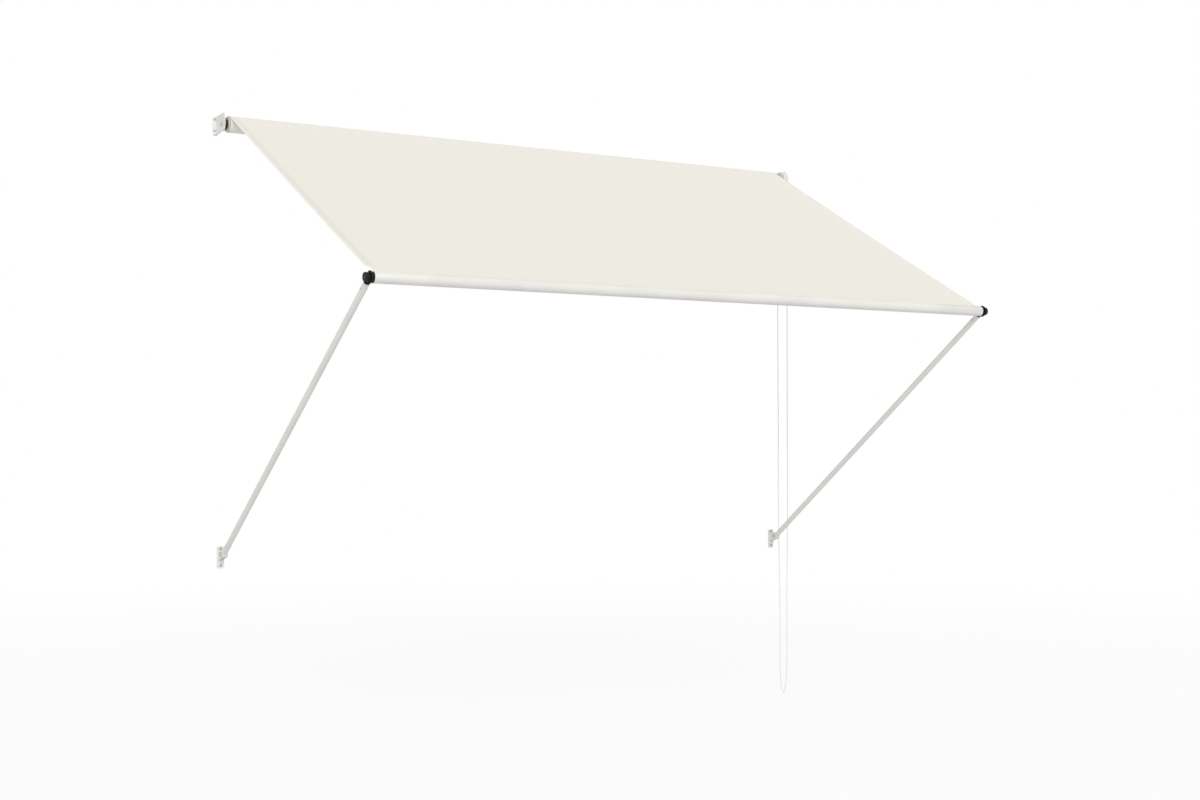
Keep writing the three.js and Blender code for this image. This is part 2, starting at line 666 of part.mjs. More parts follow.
function pivotNut() {
  const x1 = -CLEVIS.outer - GAP;
  const x0 = x1 - BOLT.nutThick;
  return build([hexX(BOLT.nut, x0, x1)], [rodX(BOLT.radius + GAP, x0 - 1, x1 + 1)]);
}

// ---- assembly ----
function piece(name, geometry, finish, position = [0, 0, 0]) {
  const closed = build([geometry]);
  closed.computeVertexNormals();
  const mesh = new THREE.Mesh(closed, new THREE.MeshStandardMaterial(FINISHES[finish]));
  mesh.name = name;
  mesh.position.set(...position);
  return mesh;
}

function group(position, turn, ...children) {
  const set = new THREE.Group();
  set.position.set(...position);
  set.rotation.x = turn;
  set.add(...children);
  return set;
}

function topBracketSet(side, x, bracket, screwX) {
  const screws = [["upper", TOP_PLATE.screws[0]], ["lower", TOP_PLATE.screws[1]]].map(([place, z]) =>
    piece(`top_screw_${side}_${place}`, wallScrew(TOP_SCREW), "zinc", [screwX, 0, z]));
  return group([x, 0, 0], 0, piece(`top_bracket_${side}`, bracket, "coat"), ...screws);
}

function lowerBracketSet(side, x) {
  const screws = [["upper", LOWER_PLATE.screws[0]], ["lower", LOWER_PLATE.screws[1]]].map(([place, z]) =>
    piece(`lower_screw_${side}_${place}`, wallScrew(LOWER_SCREW), "zinc", [0, 0, z]));
  return group([x, 0, -PIVOT_DROP], 0,
    piece(`lower_bracket_${side}`, lowerBracket(), "coat"), ...screws,
    piece(`pivot_bolt_${side}`, pivotBolt(), "zinc", [0, -PIVOT_OUT, 0]),
    piece(`pivot_nut_${side}`, pivotNut(), "zinc", [0, -PIVOT_OUT, 0]));
}

function armSet(side, x) {
  return group([x, -PIVOT_OUT, -PIVOT_DROP], ARM_ANGLE,
    piece(`arm_tube_${side}`, armTube(), "coat"),
    piece(`arm_foot_${side}`, armFoot(), "coat"),
    piece(`foot_rivet_${side}`, rivet(), "zinc", [0, 0, FOOT.rivet]),
    piece(`arm_eye_${side}`, armEye(), "black", [0, 0, ARM_LENGTH]),
    piece(`eye_rivet_${side}`, rivet(), "zinc", [0, 0, ARM_LENGTH - EYE.rivet]));
}

const DRIVE_REACH = 84; // the drive side's bracket is a little shorter than the idle side's
const IDLE_REACH = 90;
const RIGHT_BRACKET_X = CHAIN_X + BASE.right + GAP - CHEEK.inner;
const driveBracket = topBracket(DRIVE_REACH, [BASE.screwZ, -BASE.screwZ]);

const barLength = RIGHT_ARM_X - LEFT_ARM_X;
const barTube = groovedTube(BAR_RADIUS, BAR_WALL, BAR_START, barLength - BAR_START, BAR_GROOVE);
const rollerTube = groovedTube(TUBE_RADIUS, TUBE_WALL, TUBE_LEFT, TUBE_RIGHT, GROOVE);

const onRollerAxis = group([0, -ROLLER_OUT, 0], 0,
  piece("roller_tube", rollerTube, "zinc"),
  piece("roller_spline", spline(GROOVE, FABRIC_LEFT, FABRIC_RIGHT), "white"),
  piece("fabric_roll", ringX(TUBE_RADIUS + GAP, ROLL_RADIUS, FABRIC_LEFT, FABRIC_RIGHT), "cloth"),
  piece("idle_plug", idlePlug(), "grey"),
  piece("idle_pin", idlePin(), "steel"),
  piece("idle_spacer", idleSpacer(), "grey"),
  piece("idle_ring", idleRing(), "black"),
  piece("idle_pin_clip", pinClip(), "steel"));

const onChainWheel = group([CHAIN_X, -ROLLER_OUT, 0], 0,
  piece("chain_wheel", chainWheel(), "white"),
  piece("drive_plug", drivePlug(), "white"),
  piece("drive_cover", driveCover(), "coat"),
  piece("drive_base", driveBase(), "coat"),
  piece("drive_axle", driveAxle(), "steel"),
  piece("axle_nut", axleNut(), "zinc"),
  piece("brake_spring", brakeSpring(), "steel"),
  piece("base_screw_upper", baseScrew(), "zinc", [0, 0, BASE.screwZ]),
  piece("base_screw_lower", baseScrew(), "zinc", [0, 0, -BASE.screwZ]),
  piece("chain_over_wheel", chainOverWheel(), "white"),
  piece("bead_chain", beadChain(), "white"));

const onClothPlane = group([0, -ROLLER_OUT, 0], CLOTH_SLOPE,
  piece("canopy", canopy(), "cloth"));

const clothOnBar = [FABRIC_LEFT + NOTCH.width - LEFT_ARM_X, FABRIC_RIGHT - LEFT_ARM_X];
const onBarAxis = group([LEFT_ARM_X, BAR_Y, BAR_Z], CLOTH_SLOPE,
  piece("front_bar", barTube, "coat"),
  piece("bar_spline", spline(BAR_GROOVE, ...clothOnBar), "white"),
  piece("bar_plug_left", barPlug(false), "black"),
  piece("bar_plug_right", barPlug(true), "black", [barLength, 0, 0]),
  piece("bar_button_left", barButton(), "black"),
  piece("bar_button_right", mirrored(barButton()), "black", [barLength, 0, 0]),
  piece("button_screw_left", buttonScrew(), "zinc"),
  piece("button_screw_right", mirrored(buttonScrew()), "zinc", [barLength, 0, 0]));

const awning = group([0, 0, 0], 0,
  topBracketSet("left", 0, topBracket(IDLE_REACH), TOP_PLATE.screwX),
  topBracketSet("right", RIGHT_BRACKET_X, mirrored(driveBracket), -TOP_PLATE.screwX),
  lowerBracketSet("left", LEFT_ARM_X),
  lowerBracketSet("right", RIGHT_ARM_X),
  onRollerAxis, onChainWheel, onClothPlane, onBarAxis,
  armSet("left", LEFT_ARM_X),
  armSet("right", RIGHT_ARM_X));

export default awning;
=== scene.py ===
import math

import bmesh
import bpy
import numpy as np
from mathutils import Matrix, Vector


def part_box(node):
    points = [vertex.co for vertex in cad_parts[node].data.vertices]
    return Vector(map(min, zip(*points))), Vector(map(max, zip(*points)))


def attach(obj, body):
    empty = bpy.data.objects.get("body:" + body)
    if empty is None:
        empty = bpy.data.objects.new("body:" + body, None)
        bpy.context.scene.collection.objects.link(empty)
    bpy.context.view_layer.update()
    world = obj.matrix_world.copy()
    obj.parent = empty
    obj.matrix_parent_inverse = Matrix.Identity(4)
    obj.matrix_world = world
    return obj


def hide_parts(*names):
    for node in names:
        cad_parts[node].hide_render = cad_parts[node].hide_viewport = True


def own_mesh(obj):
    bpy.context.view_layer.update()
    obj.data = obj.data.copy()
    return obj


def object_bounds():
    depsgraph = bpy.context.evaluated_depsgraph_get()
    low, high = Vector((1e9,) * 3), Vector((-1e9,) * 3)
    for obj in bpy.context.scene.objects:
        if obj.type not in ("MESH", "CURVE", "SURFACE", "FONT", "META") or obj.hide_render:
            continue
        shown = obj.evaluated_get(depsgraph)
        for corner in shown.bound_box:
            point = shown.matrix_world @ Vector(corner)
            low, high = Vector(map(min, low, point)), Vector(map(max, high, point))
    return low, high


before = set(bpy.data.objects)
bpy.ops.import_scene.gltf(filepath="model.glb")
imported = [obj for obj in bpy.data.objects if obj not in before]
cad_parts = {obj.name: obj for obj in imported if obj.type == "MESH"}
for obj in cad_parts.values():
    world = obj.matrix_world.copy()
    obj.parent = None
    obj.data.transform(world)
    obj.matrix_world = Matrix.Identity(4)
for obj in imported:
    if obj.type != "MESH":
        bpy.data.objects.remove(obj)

# A wall awning with drop arms: a chain-driven roller at the wall, a tight sheet of canvas, and a front bar
# on two arms. X runs along the wall, +Y goes into it, Z is up. Pieces are worked out in millimetres.
scene = bpy.context.scene
cadLow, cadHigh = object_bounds()
mm = 0.001


def span(node):  # lowest and highest corner of a CAD node
    low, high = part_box(node)
    return np.array(low) / mm, np.array(high) / mm


def middle(node):
    return sum(span(node)) / 2


# ---- camera ----
view = {"place": (-2.0557, -5.8889, -1.1281), "yaw": -31.665, "tilt": 1.5616, "lens": 52.11}


def addCamera():
    lensData = bpy.data.cameras.new("studioCamera")
    lensData.lens = view["lens"]
    lensData.clip_end = 200
    camera = bpy.data.objects.new("studioCamera", lensData)
    camera.location = view["place"]
    camera.rotation_euler = (math.radians(90 + view["tilt"]), 0, math.radians(view["yaw"]))
    scene.collection.objects.link(camera)
    scene.camera = camera


addCamera()
print("camera ready")


# ---- places taken from the frame ----
rollerY, rollerZ = middle("fabric_roll")[1:]
barY, barZ = middle("front_bar")[1:]
pivotY, pivotZ = middle("pivot_bolt_left")[1:]
rollRadius = (span("fabric_roll")[1] - span("fabric_roll")[0])[2] / 2
barRadius = (span("front_bar")[1] - span("front_bar")[0])[2] / 2
armX = {side: middle("arm_tube_" + side)[0] for side in ("left", "right")}
chainX = middle("bead_chain")[0]
armTurn = math.atan2(pivotY - barY, barZ - pivotZ)
chord = math.hypot(barY - rollerY, barZ - rollerZ)
clothTurn = math.atan2(rollerZ - barZ, rollerY - barY) + math.asin((rollRadius - barRadius) / chord)
clothReach = math.sqrt(chord ** 2 - (rollRadius - barRadius) ** 2)
clothX = (span("fabric_roll")[0][0], span("fabric_roll")[1][0])

onRoller = ((0, rollerY, rollerZ), 0)
onCloth = ((0, rollerY, rollerZ), clothTurn)
onBar = ((0, barY, barZ), clothTurn)
onChainWheel = ((chainX, rollerY, rollerZ), 0)
onArm = {side: ((x, pivotY, pivotZ), armTurn) for side, x in armX.items()}
gap = 0.3


# ---- surfaces ----
def placed(points, seat):  # turns points about the X axis, then shifts them to the seat's origin
    origin, turn = seat
    x, y, z = np.moveaxis(np.asarray(points, float), -1, 0)
    c, s = math.cos(turn), math.sin(turn)
    return np.stack([x, y * c - z * s, y * s + z * c], -1) + np.array(origin)


def gridFaces(rows, columns, closeRows=False, closeColumns=False):
    # four-sided faces of a grid numbered row by row; a closed direction joins its last line to its first
    row = np.arange(rows if closeRows else rows - 1)[:, None]
    column = np.arange(columns if closeColumns else columns - 1)[None, :]
    nextRow, nextColumn = (row + 1) % rows, (column + 1) % columns
    corners = [row * columns + column, row * columns + nextColumn,
               nextRow * columns + nextColumn, nextRow * columns + column]
    return np.stack(np.broadcast_arrays(*corners), -1).reshape(-1, 4)


def rounded(corners, closed=False, steps=4):
    # corners are (a, b, radius); each becomes an arc of that radius, tangent to the lines on both sides
    table = np.array(corners, float)
    points, radius = table[:, :2], table[:, 2]
    before, after = np.roll(points, 1, 0) - points, np.roll(points, -1, 0) - points
    reach = np.minimum(np.linalg.norm(before, axis=1), np.linalg.norm(after, axis=1))
    before /= np.linalg.norm(before, axis=1)[:, None]
    after /= np.linalg.norm(after, axis=1)[:, None]
    half = np.arccos(np.clip((before * after).sum(1), -1, 1)) / 2
    if not closed:
        radius[[0, -1]] = 0
    tangent = np.minimum(radius / np.tan(half), 0.49 * reach)
    swing = math.pi - 2 * half
    share = np.linspace(0, 1, steps + 1)[None, :, None]
    start = points + before * tangent[:, None]
    end = points + after * tangent[:, None]
    inward = (before + after) / np.maximum(np.linalg.norm(before + after, axis=1), 1e-9)[:, None]
    centre = points + inward * (tangent / np.maximum(np.cos(half), 1e-9))[:, None]
    safe = np.maximum(np.sin(swing), 1e-9)[:, None, None]
    arc = (np.sin((1 - share) * swing[:, None, None]) * (start - centre)[:, None]
           + np.sin(share * swing[:, None, None]) * (end - centre)[:, None]) / safe + centre[:, None]
    arc = np.where((tangent > 1e-4)[:, None, None], arc, points[:, None]).reshape(-1, 2)
    kept = np.linalg.norm(arc - np.roll(arc, 1, 0), axis=1) > 1e-4
    kept[0] = True
    return arc[kept]


def turned(profile, seat, closed=False, sides=48, steps=4):
    # profile (along X, radius, fillet) carried round the X axis; an open profile starts and ends on the axis
    outline = rounded(profile, closed, steps)
    angle = np.linspace(0, 2 * math.pi, sides, endpoint=False)[None, :]
    along, radius = outline[:, :1], outline[:, 1:]
    points = np.stack([along + 0 * angle, -radius * np.sin(angle), radius * np.cos(angle)], -1)
    return placed(points, seat), gridFaces(len(outline), sides, closed, True)


def swept(path, side, radius, sides=8):
    # circle of the given radius carried along a path; side is the direction across it, and the ends shrink
    # to a point
    tangent = np.gradient(path, axis=0)
    tangent /= np.linalg.norm(tangent, axis=1)[:, None]
    up = np.cross(side, tangent)
    angle = np.linspace(0, 2 * math.pi, sides, endpoint=False)[None, :, None]
    ring = np.cos(angle) * np.broadcast_to(side, path.shape)[:, None] + np.sin(angle) * up[:, None]
    size = np.broadcast_to(radius, len(path))[:, None, None]
    points = path[:, None] + size * ring
    first = np.repeat(path[:1, None], sides, 1)
    last = np.repeat(path[-1:, None], sides, 1)
    return np.concatenate([first, points, last]), gridFaces(len(path) + 2, sides, False, True)


def walled(outer, inner, x0, x1, seat, stations=9, edge=0.25):
    # a wall between two matched outlines in Y and Z, drawn out along X; its four end edges are eased
    x = np.concatenate([[x0], np.linspace(x0 + edge, x1 - edge, stations), [x1]])
    ease = np.zeros(len(x))
    ease[[0, -1]] = 1
    thick = np.maximum(np.linalg.norm(inner - outer, axis=1), 1e-6)[:, None]
    shift = (inner - outer) / thick * np.minimum(edge, 0.4 * thick)
    outside = outer[None] + ease[:, None, None] * shift[None]
    inside = inner[None] - ease[:, None, None] * shift[None]
    loop = np.concatenate([outside, inside[::-1]])
    along = np.concatenate([x, x[::-1]])[:, None, None] + 0 * loop[..., :1]
    points = np.concatenate([along, loop], -1)
    return placed(points, seat), gridFaces(len(loop), len(outer), True, True)


def meshOf(name, shells, merge=1e-7):
    # joins shells of (points, faces) into one mesh, merges doubles and turns every face outwards
    starts = np.cumsum([0] + [points.reshape(-1, 3).shape[0] for points, _ in shells])
    vertices = np.concatenate([points.reshape(-1, 3) for points, _ in shells]) * mm
    faces = np.concatenate([faces + start for (_, faces), start in zip(shells, starts)])
    mesh = bpy.data.meshes.new(name)
    mesh.from_pydata(vertices, [], faces)
    cleaned = bmesh.new()
    cleaned.from_mesh(mesh)
    bmesh.ops.remove_doubles(cleaned, verts=cleaned.verts, dist=merge)
    bmesh.ops.recalc_face_normals(cleaned, faces=cleaned.faces)
    cleaned.to_mesh(mesh)
    cleaned.free()
    return mesh


def readPoints(mesh):
    points = np.empty(len(mesh.vertices) * 3, np.float32)
    mesh.vertices.foreach_get("co", points)
    return points.reshape(-1, 3) / mm


def layMesh(mesh, points):  # a copy of a mesh with its vertices at other places, in millimetres
    copy = mesh.copy()
    copy.vertices.foreach_set("co", (points * mm).astype(np.float32).ravel())
    return copy


def addPiece(name, mesh, look, body, stands=(), sharp=38):
    # a finished mesh becomes a piece: smooth, with its material, its body and the CAD nodes it
    # stands for
    mesh.shade_smooth()
    mesh.set_sharp_from_angle(angle=math.radians(sharp))
    mesh.materials.append(look)
    piece = bpy.data.objects.new(name, mesh)
    scene.collection.objects.link(piece)
    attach(piece, body)
    if stands:
        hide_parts(*stands)
    return piece


def addTurned(name, profile, seat, look, body, node, closed=False, sides=48):
    mesh = meshOf(node, [turned(profile, seat, closed, sides)])
    return addPiece(name, mesh, look, body, (node,))


def softened(node, name, width, look, body):
    # a copy of a CAD node, merged, its flat faces made whole and its edges rounded by a bevel
    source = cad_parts[node].data
    places = np.empty(len(source.vertices) * 3, np.float32)
    source.vertices.foreach_get("co", places)
    triangles = np.empty(len(source.polygons) * 3, np.int32)
    source.polygons.foreach_get("vertices", triangles)
    mesh = bpy.data.meshes.new(name)
    mesh.from_pydata(places.reshape(-1, 3), [], triangles.reshape(-1, 3))
    cleaned = bmesh.new()
    cleaned.from_mesh(mesh)
    bmesh.ops.remove_doubles(cleaned, verts=cleaned.verts, dist=2e-6)
    bmesh.ops.dissolve_limit(cleaned, angle_limit=math.radians(1), verts=cleaned.verts, edges=cleaned.edges)
    cleaned.to_mesh(mesh)
    cleaned.free()
    piece = addPiece(name, mesh, look, body, (node,))
    bevel = piece.modifiers.new("eased", "BEVEL")
    bevel.width = width * mm
    bevel.segments = 3
    bevel.limit_method = "ANGLE"
    bevel.angle_limit = math.radians(40)
    return piece


def cutAway(mesh, cutter):
    # takes one closed mesh away from another by an exact Boolean, and returns what is left
    pair = [bpy.data.objects.new("cutting", one) for one in (mesh, cutter)]
    for one in pair:
        scene.collection.objects.link(one)
    cut = pair[0].modifiers.new("cut", "BOOLEAN")
    cut.operation = "DIFFERENCE"
    cut.object = pair[1]
    evaluated = pair[0].evaluated_get(bpy.context.evaluated_depsgraph_get())
    left = bpy.data.meshes.new_from_object(evaluated)
    for one in pair:
        bpy.data.objects.remove(one)
    return left


def block(low, high):  # a closed box between two corners, for cutting
    x, y, z = [np.array([a, b], float) for a, b in zip(low, high)]
    ring = np.array([[y[0], z[0]], [y[1], z[0]], [y[1], z[1]], [y[0], z[1]]])
    points = np.stack([np.concatenate([np.full((4, 1), a), ring], 1) for a in x])
    centres = points.mean(1, keepdims=True).repeat(4, 1)
    return np.concatenate([centres[:1], points, centres[1:]]), gridFaces(4, 4, False, True)


# ---- materials ----
def colour(hexValue):  # sRGB hex to linear light
    parts = np.array([int(hexValue[i:i + 2], 16) / 255 for i in (1, 3, 5)])
    light = np.where(parts <= 0.04045, parts / 12.92, ((parts + 0.055) / 1.055) ** 2.4)
    return (*light, 1.0)


def addNode(tree, kind, settings={}, links={}):
    # adds one node; a setting is an input's value where it names or numbers one, and otherwise an attribute
    node = tree.nodes.new("ShaderNode" + kind)
    for key, value in settings.items():
        if not isinstance(key, int) and hasattr(node, key):
            setattr(node, key, value)
        else:
            node.inputs[key].default_value = value
    for key, output in links.items():
        tree.links.new(output, node.inputs[key])
    return node


def startMaterial(name, shaderSettings):
    look = bpy.data.materials.new(name)
    look.use_nodes = True
    tree = look.node_tree
    tree.nodes.clear()
    shader = addNode(tree, "BsdfPrincipled", shaderSettings)
    addNode(tree, "OutputMaterial", {}, {"Surface": shader.outputs["BSDF"]})
    return look, tree, shader


def blotches(tree, place, size, detail=2.0, stretch=None):
    # noise whose patches are about size millimetres across; stretch scales the place along each axis first
    if stretch:
        place = addNode(tree, "Mapping", {"Scale": stretch}, {"Vector": place}).outputs["Vector"]
    settings = {"Scale": 1 / (size * mm), "Detail": detail, "Roughness": 0.55}
    return addNode(tree, "TexNoise", settings, {"Vector": place}).outputs["Fac"]


def between(tree, factor, low, high):  # spreads a noise's usual range over low to high
    settings = {"From Min": 0.3, "From Max": 0.7, "To Min": low, "To Max": high}
    return addNode(tree, "MapRange", settings, {"Value": factor}).outputs["Result"]


def shades(tree, factor, darker, lighter):  # from one colour to another as the factor goes from 0.3 to 0.7
    ramp = addNode(tree, "ValToRGB", {}, {"Fac": factor})
    ramp.color_ramp.elements[0].position = 0.3
    ramp.color_ramp.elements[0].color = colour(darker)
    ramp.color_ramp.elements[1].position = 0.7
    ramp.color_ramp.elements[1].color = colour(lighter)
    return ramp.outputs["Color"]


def emboss(tree, shader, height, depth, strength=1.0):  # bump of the given depth in millimetres
    settings = {"Distance": depth * mm, "Strength": strength}
    bump = addNode(tree, "Bump", settings, {"Height": height})
    tree.links.new(bump.outputs["Normal"], shader.inputs["Normal"])


def mottled(name, shaderSettings, patch, colours, gloss, grain=None, relief=0, grainSetsGloss=False):
    # a finish whose colour drifts over patches of the given size; finer grain can set its relief and gloss
    look, tree, shader = startMaterial(name, shaderSettings)
    place = addNode(tree, "TexCoord").outputs["Object"]
    drift = blotches(tree, place, patch)
    fine = blotches(tree, place, *grain) if grain else drift
    tree.links.new(shades(tree, drift, *colours), shader.inputs["Base Color"])
    roughness = between(tree, fine if grainSetsGloss else drift, *gloss)
    tree.links.new(roughness, shader.inputs["Roughness"])
    if relief:
        emboss(tree, shader, fine, relief)
    return look


def powderCoat():
    # Polyester powder baked on metal: warm white, satin, with a slight orange peel. The peel's real cells of
    # about 1 mm are drawn at 2 mm so that they show.
    return mottled("powderCoatedMetal", {"IOR": 1.5, "Specular IOR Level": 0.5}, 120,
                   ("#eceae5", "#f2f1ec"), (0.34, 0.42), (2, 1.0), 0.006)


def mouldedCover():
    # White ABS: the finish of a light moulded housing, a little smoother and cooler than the powder coat.
    return mottled("mouldedWhiteAbs", {"IOR": 1.53}, 40, ("#e8e8e4", "#efefeb"), (0.3, 0.4), (1.6, 3.0),
                   0.006, True)


def blackNylon():
    # Glass-filled polyamide moulded in a spark-eroded tool: near black, matt, finely pitted. Pits of 0.3 mm
    # are drawn at 1.2 mm.
    return mottled("mouldedBlackNylon", {"IOR": 1.53, "Specular IOR Level": 0.35}, 18,
                   ("#0b0b0a", "#131312"), (0.36, 0.5), (1.2, 3.0), 0.02, True)


def greyNylon():
    # Unfilled polyamide, moulded smooth: a pale grey with a waxy gloss.
    return mottled("mouldedGreyNylon", {"IOR": 1.53}, 9, ("#cfd0cb", "#dbdbd7"), (0.32, 0.42))


def whiteAcetal():
    # Acetal, moulded bead by bead on its cord: white, slightly waxy, a touch of light inside.
    inside = {"IOR": 1.48, "Subsurface Weight": 0.08, "Subsurface Radius": (0.002, 0.002, 0.0015)}
    return mottled("mouldedWhiteAcetal", inside, 25, ("#e9e9e4", "#f3f3ef"), (0.26, 0.36))


def zincPlate():
    # Zinc on steel: grey metal with soft crystals about 5 mm across that catch the light differently.
    look, tree, shader = startMaterial("zincPlatedSteel", {"Metallic": 1.0})
    place = addNode(tree, "TexCoord").outputs["Object"]
    crystal = addNode(tree, "TexVoronoi", {"Scale": 1 / (5 * mm)}, {"Vector": place}).outputs["Color"]
    tone = addNode(tree, "SeparateColor", {}, {"Color": crystal}).outputs["Red"]
    scratch = blotches(tree, place, 1.5, 3.0, (1, 0.15, 1))
    tree.links.new(shades(tree, tone, "#d2d3d3", "#dfe0e0"), shader.inputs["Base Color"])
    tree.links.new(between(tree, tone, 0.34, 0.46), shader.inputs["Roughness"])
    emboss(tree, shader, scratch, 0.006)
    return look


def brightSteel():
    # Turned bright steel: fine rings left by the tool, 0.25 mm apart, drawn at 1 mm.
    look, tree, shader = startMaterial("turnedBrightSteel", {"Metallic": 1.0})
    place = addNode(tree, "TexCoord").outputs["Object"]
    rings = addNode(tree, "TexWave", {"bands_direction": "X", "Scale": 1 / (1 * mm) / 20, "Distortion": 0.4},
                    {"Vector": place}).outputs["Fac"]
    drift = blotches(tree, place, 12)
    tree.links.new(shades(tree, drift, "#d6d7d6", "#e0e1e0"), shader.inputs["Base Color"])
    tree.links.new(between(tree, rings, 0.3, 0.4), shader.inputs["Roughness"])
    emboss(tree, shader, rings, 0.004)
    return look


weave = {"thread": 1.5, "slubLength": 70, "slubWidth": 2.2, "relief": 0.12}  # real threads are 0.5 mm apart


def wovenCanvas():
    # Solution-dyed acrylic canvas in plain weave: cream, quite matt, with thicker and thinner threads
    # running both ways. The threads are drawn three times as coarse as the real ones, so that they show.
    look, tree, shader = startMaterial(
        "wovenAcrylicCanvas",
        {"IOR": 1.45, "Specular IOR Level": 0.25, "Sheen Weight": 0.12, "Sheen Roughness": 0.5})
    place = addNode(tree, "Attribute", {"attribute_name": "clothPlace"}).outputs["Vector"]
    turn = 2 * math.pi / weave["thread"]
    axes = addNode(tree, "SeparateXYZ", {}, {"Vector": place}).outputs
    waves = []
    for axis in ("X", "Y"):
        phase = addNode(tree, "Math", {"operation": "MULTIPLY", 1: turn / 2}, {0: axes[axis]})
        waves.append(addNode(tree, "Math", {"operation": "SINE"}, {0: phase.outputs[0]}).outputs[0])
    crossing = addNode(tree, "Math", {"operation": "MULTIPLY"}, {0: waves[0], 1: waves[1]}).outputs[0]
    over = addNode(tree, "Math", {"operation": "ABSOLUTE"}, {0: crossing}).outputs[0]
    slubs = []
    for stretch in ((1 / weave["slubWidth"], 1 / weave["slubLength"], 1),
                    (1 / weave["slubLength"], 1 / weave["slubWidth"], 1)):
        mapped = addNode(tree, "Mapping", {"Scale": stretch}, {"Vector": place}).outputs["Vector"]
        slub = addNode(tree, "TexNoise", {"Scale": 1.0, "Detail": 2.0}, {"Vector": mapped})
        slubs.append(slub.outputs["Fac"])
    both = addNode(tree, "Math", {"operation": "ADD"}, {0: slubs[0], 1: slubs[1]}).outputs[0]
    thickness = addNode(tree, "Math", {"operation": "MULTIPLY", 1: 0.5}, {0: both}).outputs[0]
    tree.links.new(shades(tree, thickness, "#f3efe5", "#f8f5ec"), shader.inputs["Base Color"])
    tree.links.new(between(tree, thickness, 0.86, 0.96), shader.inputs["Roughness"])
    height = addNode(tree, "Math", {"operation": "ADD"}, {0: over, 1: thickness}).outputs[0]
    emboss(tree, shader, height, weave["relief"])
    return look


def sewingThread():
    # Twisted polyester thread, a shade lighter than the canvas and a little shinier.
    look, tree, shader = startMaterial("twistedPolyesterThread", {"Sheen Weight": 0.2})
    place = addNode(tree, "TexCoord").outputs["Object"]
    twist = blotches(tree, place, 0.8, 1.0)
    tree.links.new(shades(tree, twist, "#e6e2d6", "#f4f1e8"), shader.inputs["Base Color"])
    tree.links.new(between(tree, twist, 0.5, 0.65), shader.inputs["Roughness"])
    return look


coat, coverWhite, black, grey = powderCoat(), mouldedCover(), blackNylon(), greyNylon()
acetal, zinc, steel = whiteAcetal(), zincPlate(), brightSteel()
canvas, thread = wovenCanvas(), sewingThread()
print("materials ready")


# ---- bead chain ----
chain = {
    "beadRadius": 2.25, "linkRadius": 0.75, "wheelPitch": 29, "beadsRound": 30,
    # [out from the wheel's centre line, height], in metres, from the front strand's top to the rear one's
    "route": [
        [-0.029, -0.0003], [-0.029, -0.060], [-0.0295, -0.160], [-0.031, -0.340], [-0.0325, -0.560],
        [-0.032, -0.800], [-0.0315, -1.040], [-0.032, -1.280], [-0.031, -1.500], [-0.027, -1.660],
        [-0.025, -1.780], [-0.025, -1.900], [-0.0245, -2.000], [-0.022, -2.075], [-0.016, -2.122],
        [-0.008, -2.146], [0.000, -2.155], [0.008, -2.147], [0.015, -2.124], [0.020, -2.078],
        [0.0225, -2.000], [0.022, -1.900], [0.022, -1.780], [0.024, -1.660], [0.029, -1.500],
        [0.031, -1.280], [0.030, -1.040], [0.031, -0.800], [0.0315, -0.560], [0.0305, -0.340],
        [0.0295, -0.160], [0.029, -0.060], [0.029, -0.0003],
    ],
}


def smoothRoute(points, steps=24):
    # centripetal Catmull-Rom curve: each stretch is a cubic whose end slopes come from its neighbours,
    # weighted by the square roots of the distances
    padded = np.concatenate([[2 * points[0] - points[1]], points, [2 * points[-1] - points[-2]]])
    root = np.sqrt(np.linalg.norm(np.diff(padded, axis=0), axis=1))[:, None]
    a, b, c, d = padded[:-3], padded[1:-2], padded[2:-1], padded[3:]
    r0, r1, r2 = root[:-2], root[1:-1], root[2:]
    slopeB = ((b - a) / r0 - (c - a) / (r0 + r1) + (c - b) / r1) * r1
    slopeC = ((c - b) / r1 - (d - b) / (r1 + r2) + (d - c) / r2) * r1
    t = np.linspace(0, 1, steps, endpoint=False)[None, :, None]
    curve = ((2 * t ** 3 - 3 * t ** 2 + 1) * b[:, None] + (t ** 3 - 2 * t ** 2 + t) * slopeB[:, None]
             + (3 * t ** 2 - 2 * t ** 3) * c[:, None] + (t ** 3 - t ** 2) * slopeC[:, None])
    return np.concatenate([curve.reshape(-1, 2), points[-1:]])


def evenly(path, count, offset=0.0):  # count points along a path at equal lengths; offset 0.5 is mid-stretch
    run = np.concatenate([[0], np.cumsum(np.linalg.norm(np.diff(path, axis=0), axis=1))])
    where = (np.arange(count) + offset) / (count if offset else count - 1) * run[-1]
    return np.stack([np.interp(where, run, path[:, i]) for i in range(path.shape[1])], 1), run[-1]


def beads(centres, along, radius, sides=8, rings=5):
    # one small ball per centre, its poles on the chain's line, copied by adding every centre to one pattern
    latitude = np.linspace(0, math.pi, rings + 2)[:, None]
    longitude = np.linspace(0, 2 * math.pi, sides, endpoint=False)[None, :]
    axial = np.cos(latitude) + 0 * longitude
    flatX = np.sin(latitude) * np.cos(longitude)
    flatY = np.sin(latitude) * np.sin(longitude)
    along = along / np.linalg.norm(along, axis=1)[:, None]
    across = np.cross(along, [1.0, 0, 0])
    ball = (axial[None, ..., None] * along[:, None, None] + flatY[None, ..., None] * across[:, None, None]
            + flatX[None, ..., None] * np.array([1.0, 0, 0]))
    points = centres[:, None, None] + radius * ball
    one = gridFaces(rings + 2, sides, False, True)
    size = (rings + 2) * sides
    faces = (one[None] + (np.arange(len(centres)) * size)[:, None, None]).reshape(-1, 4)
    return points, faces


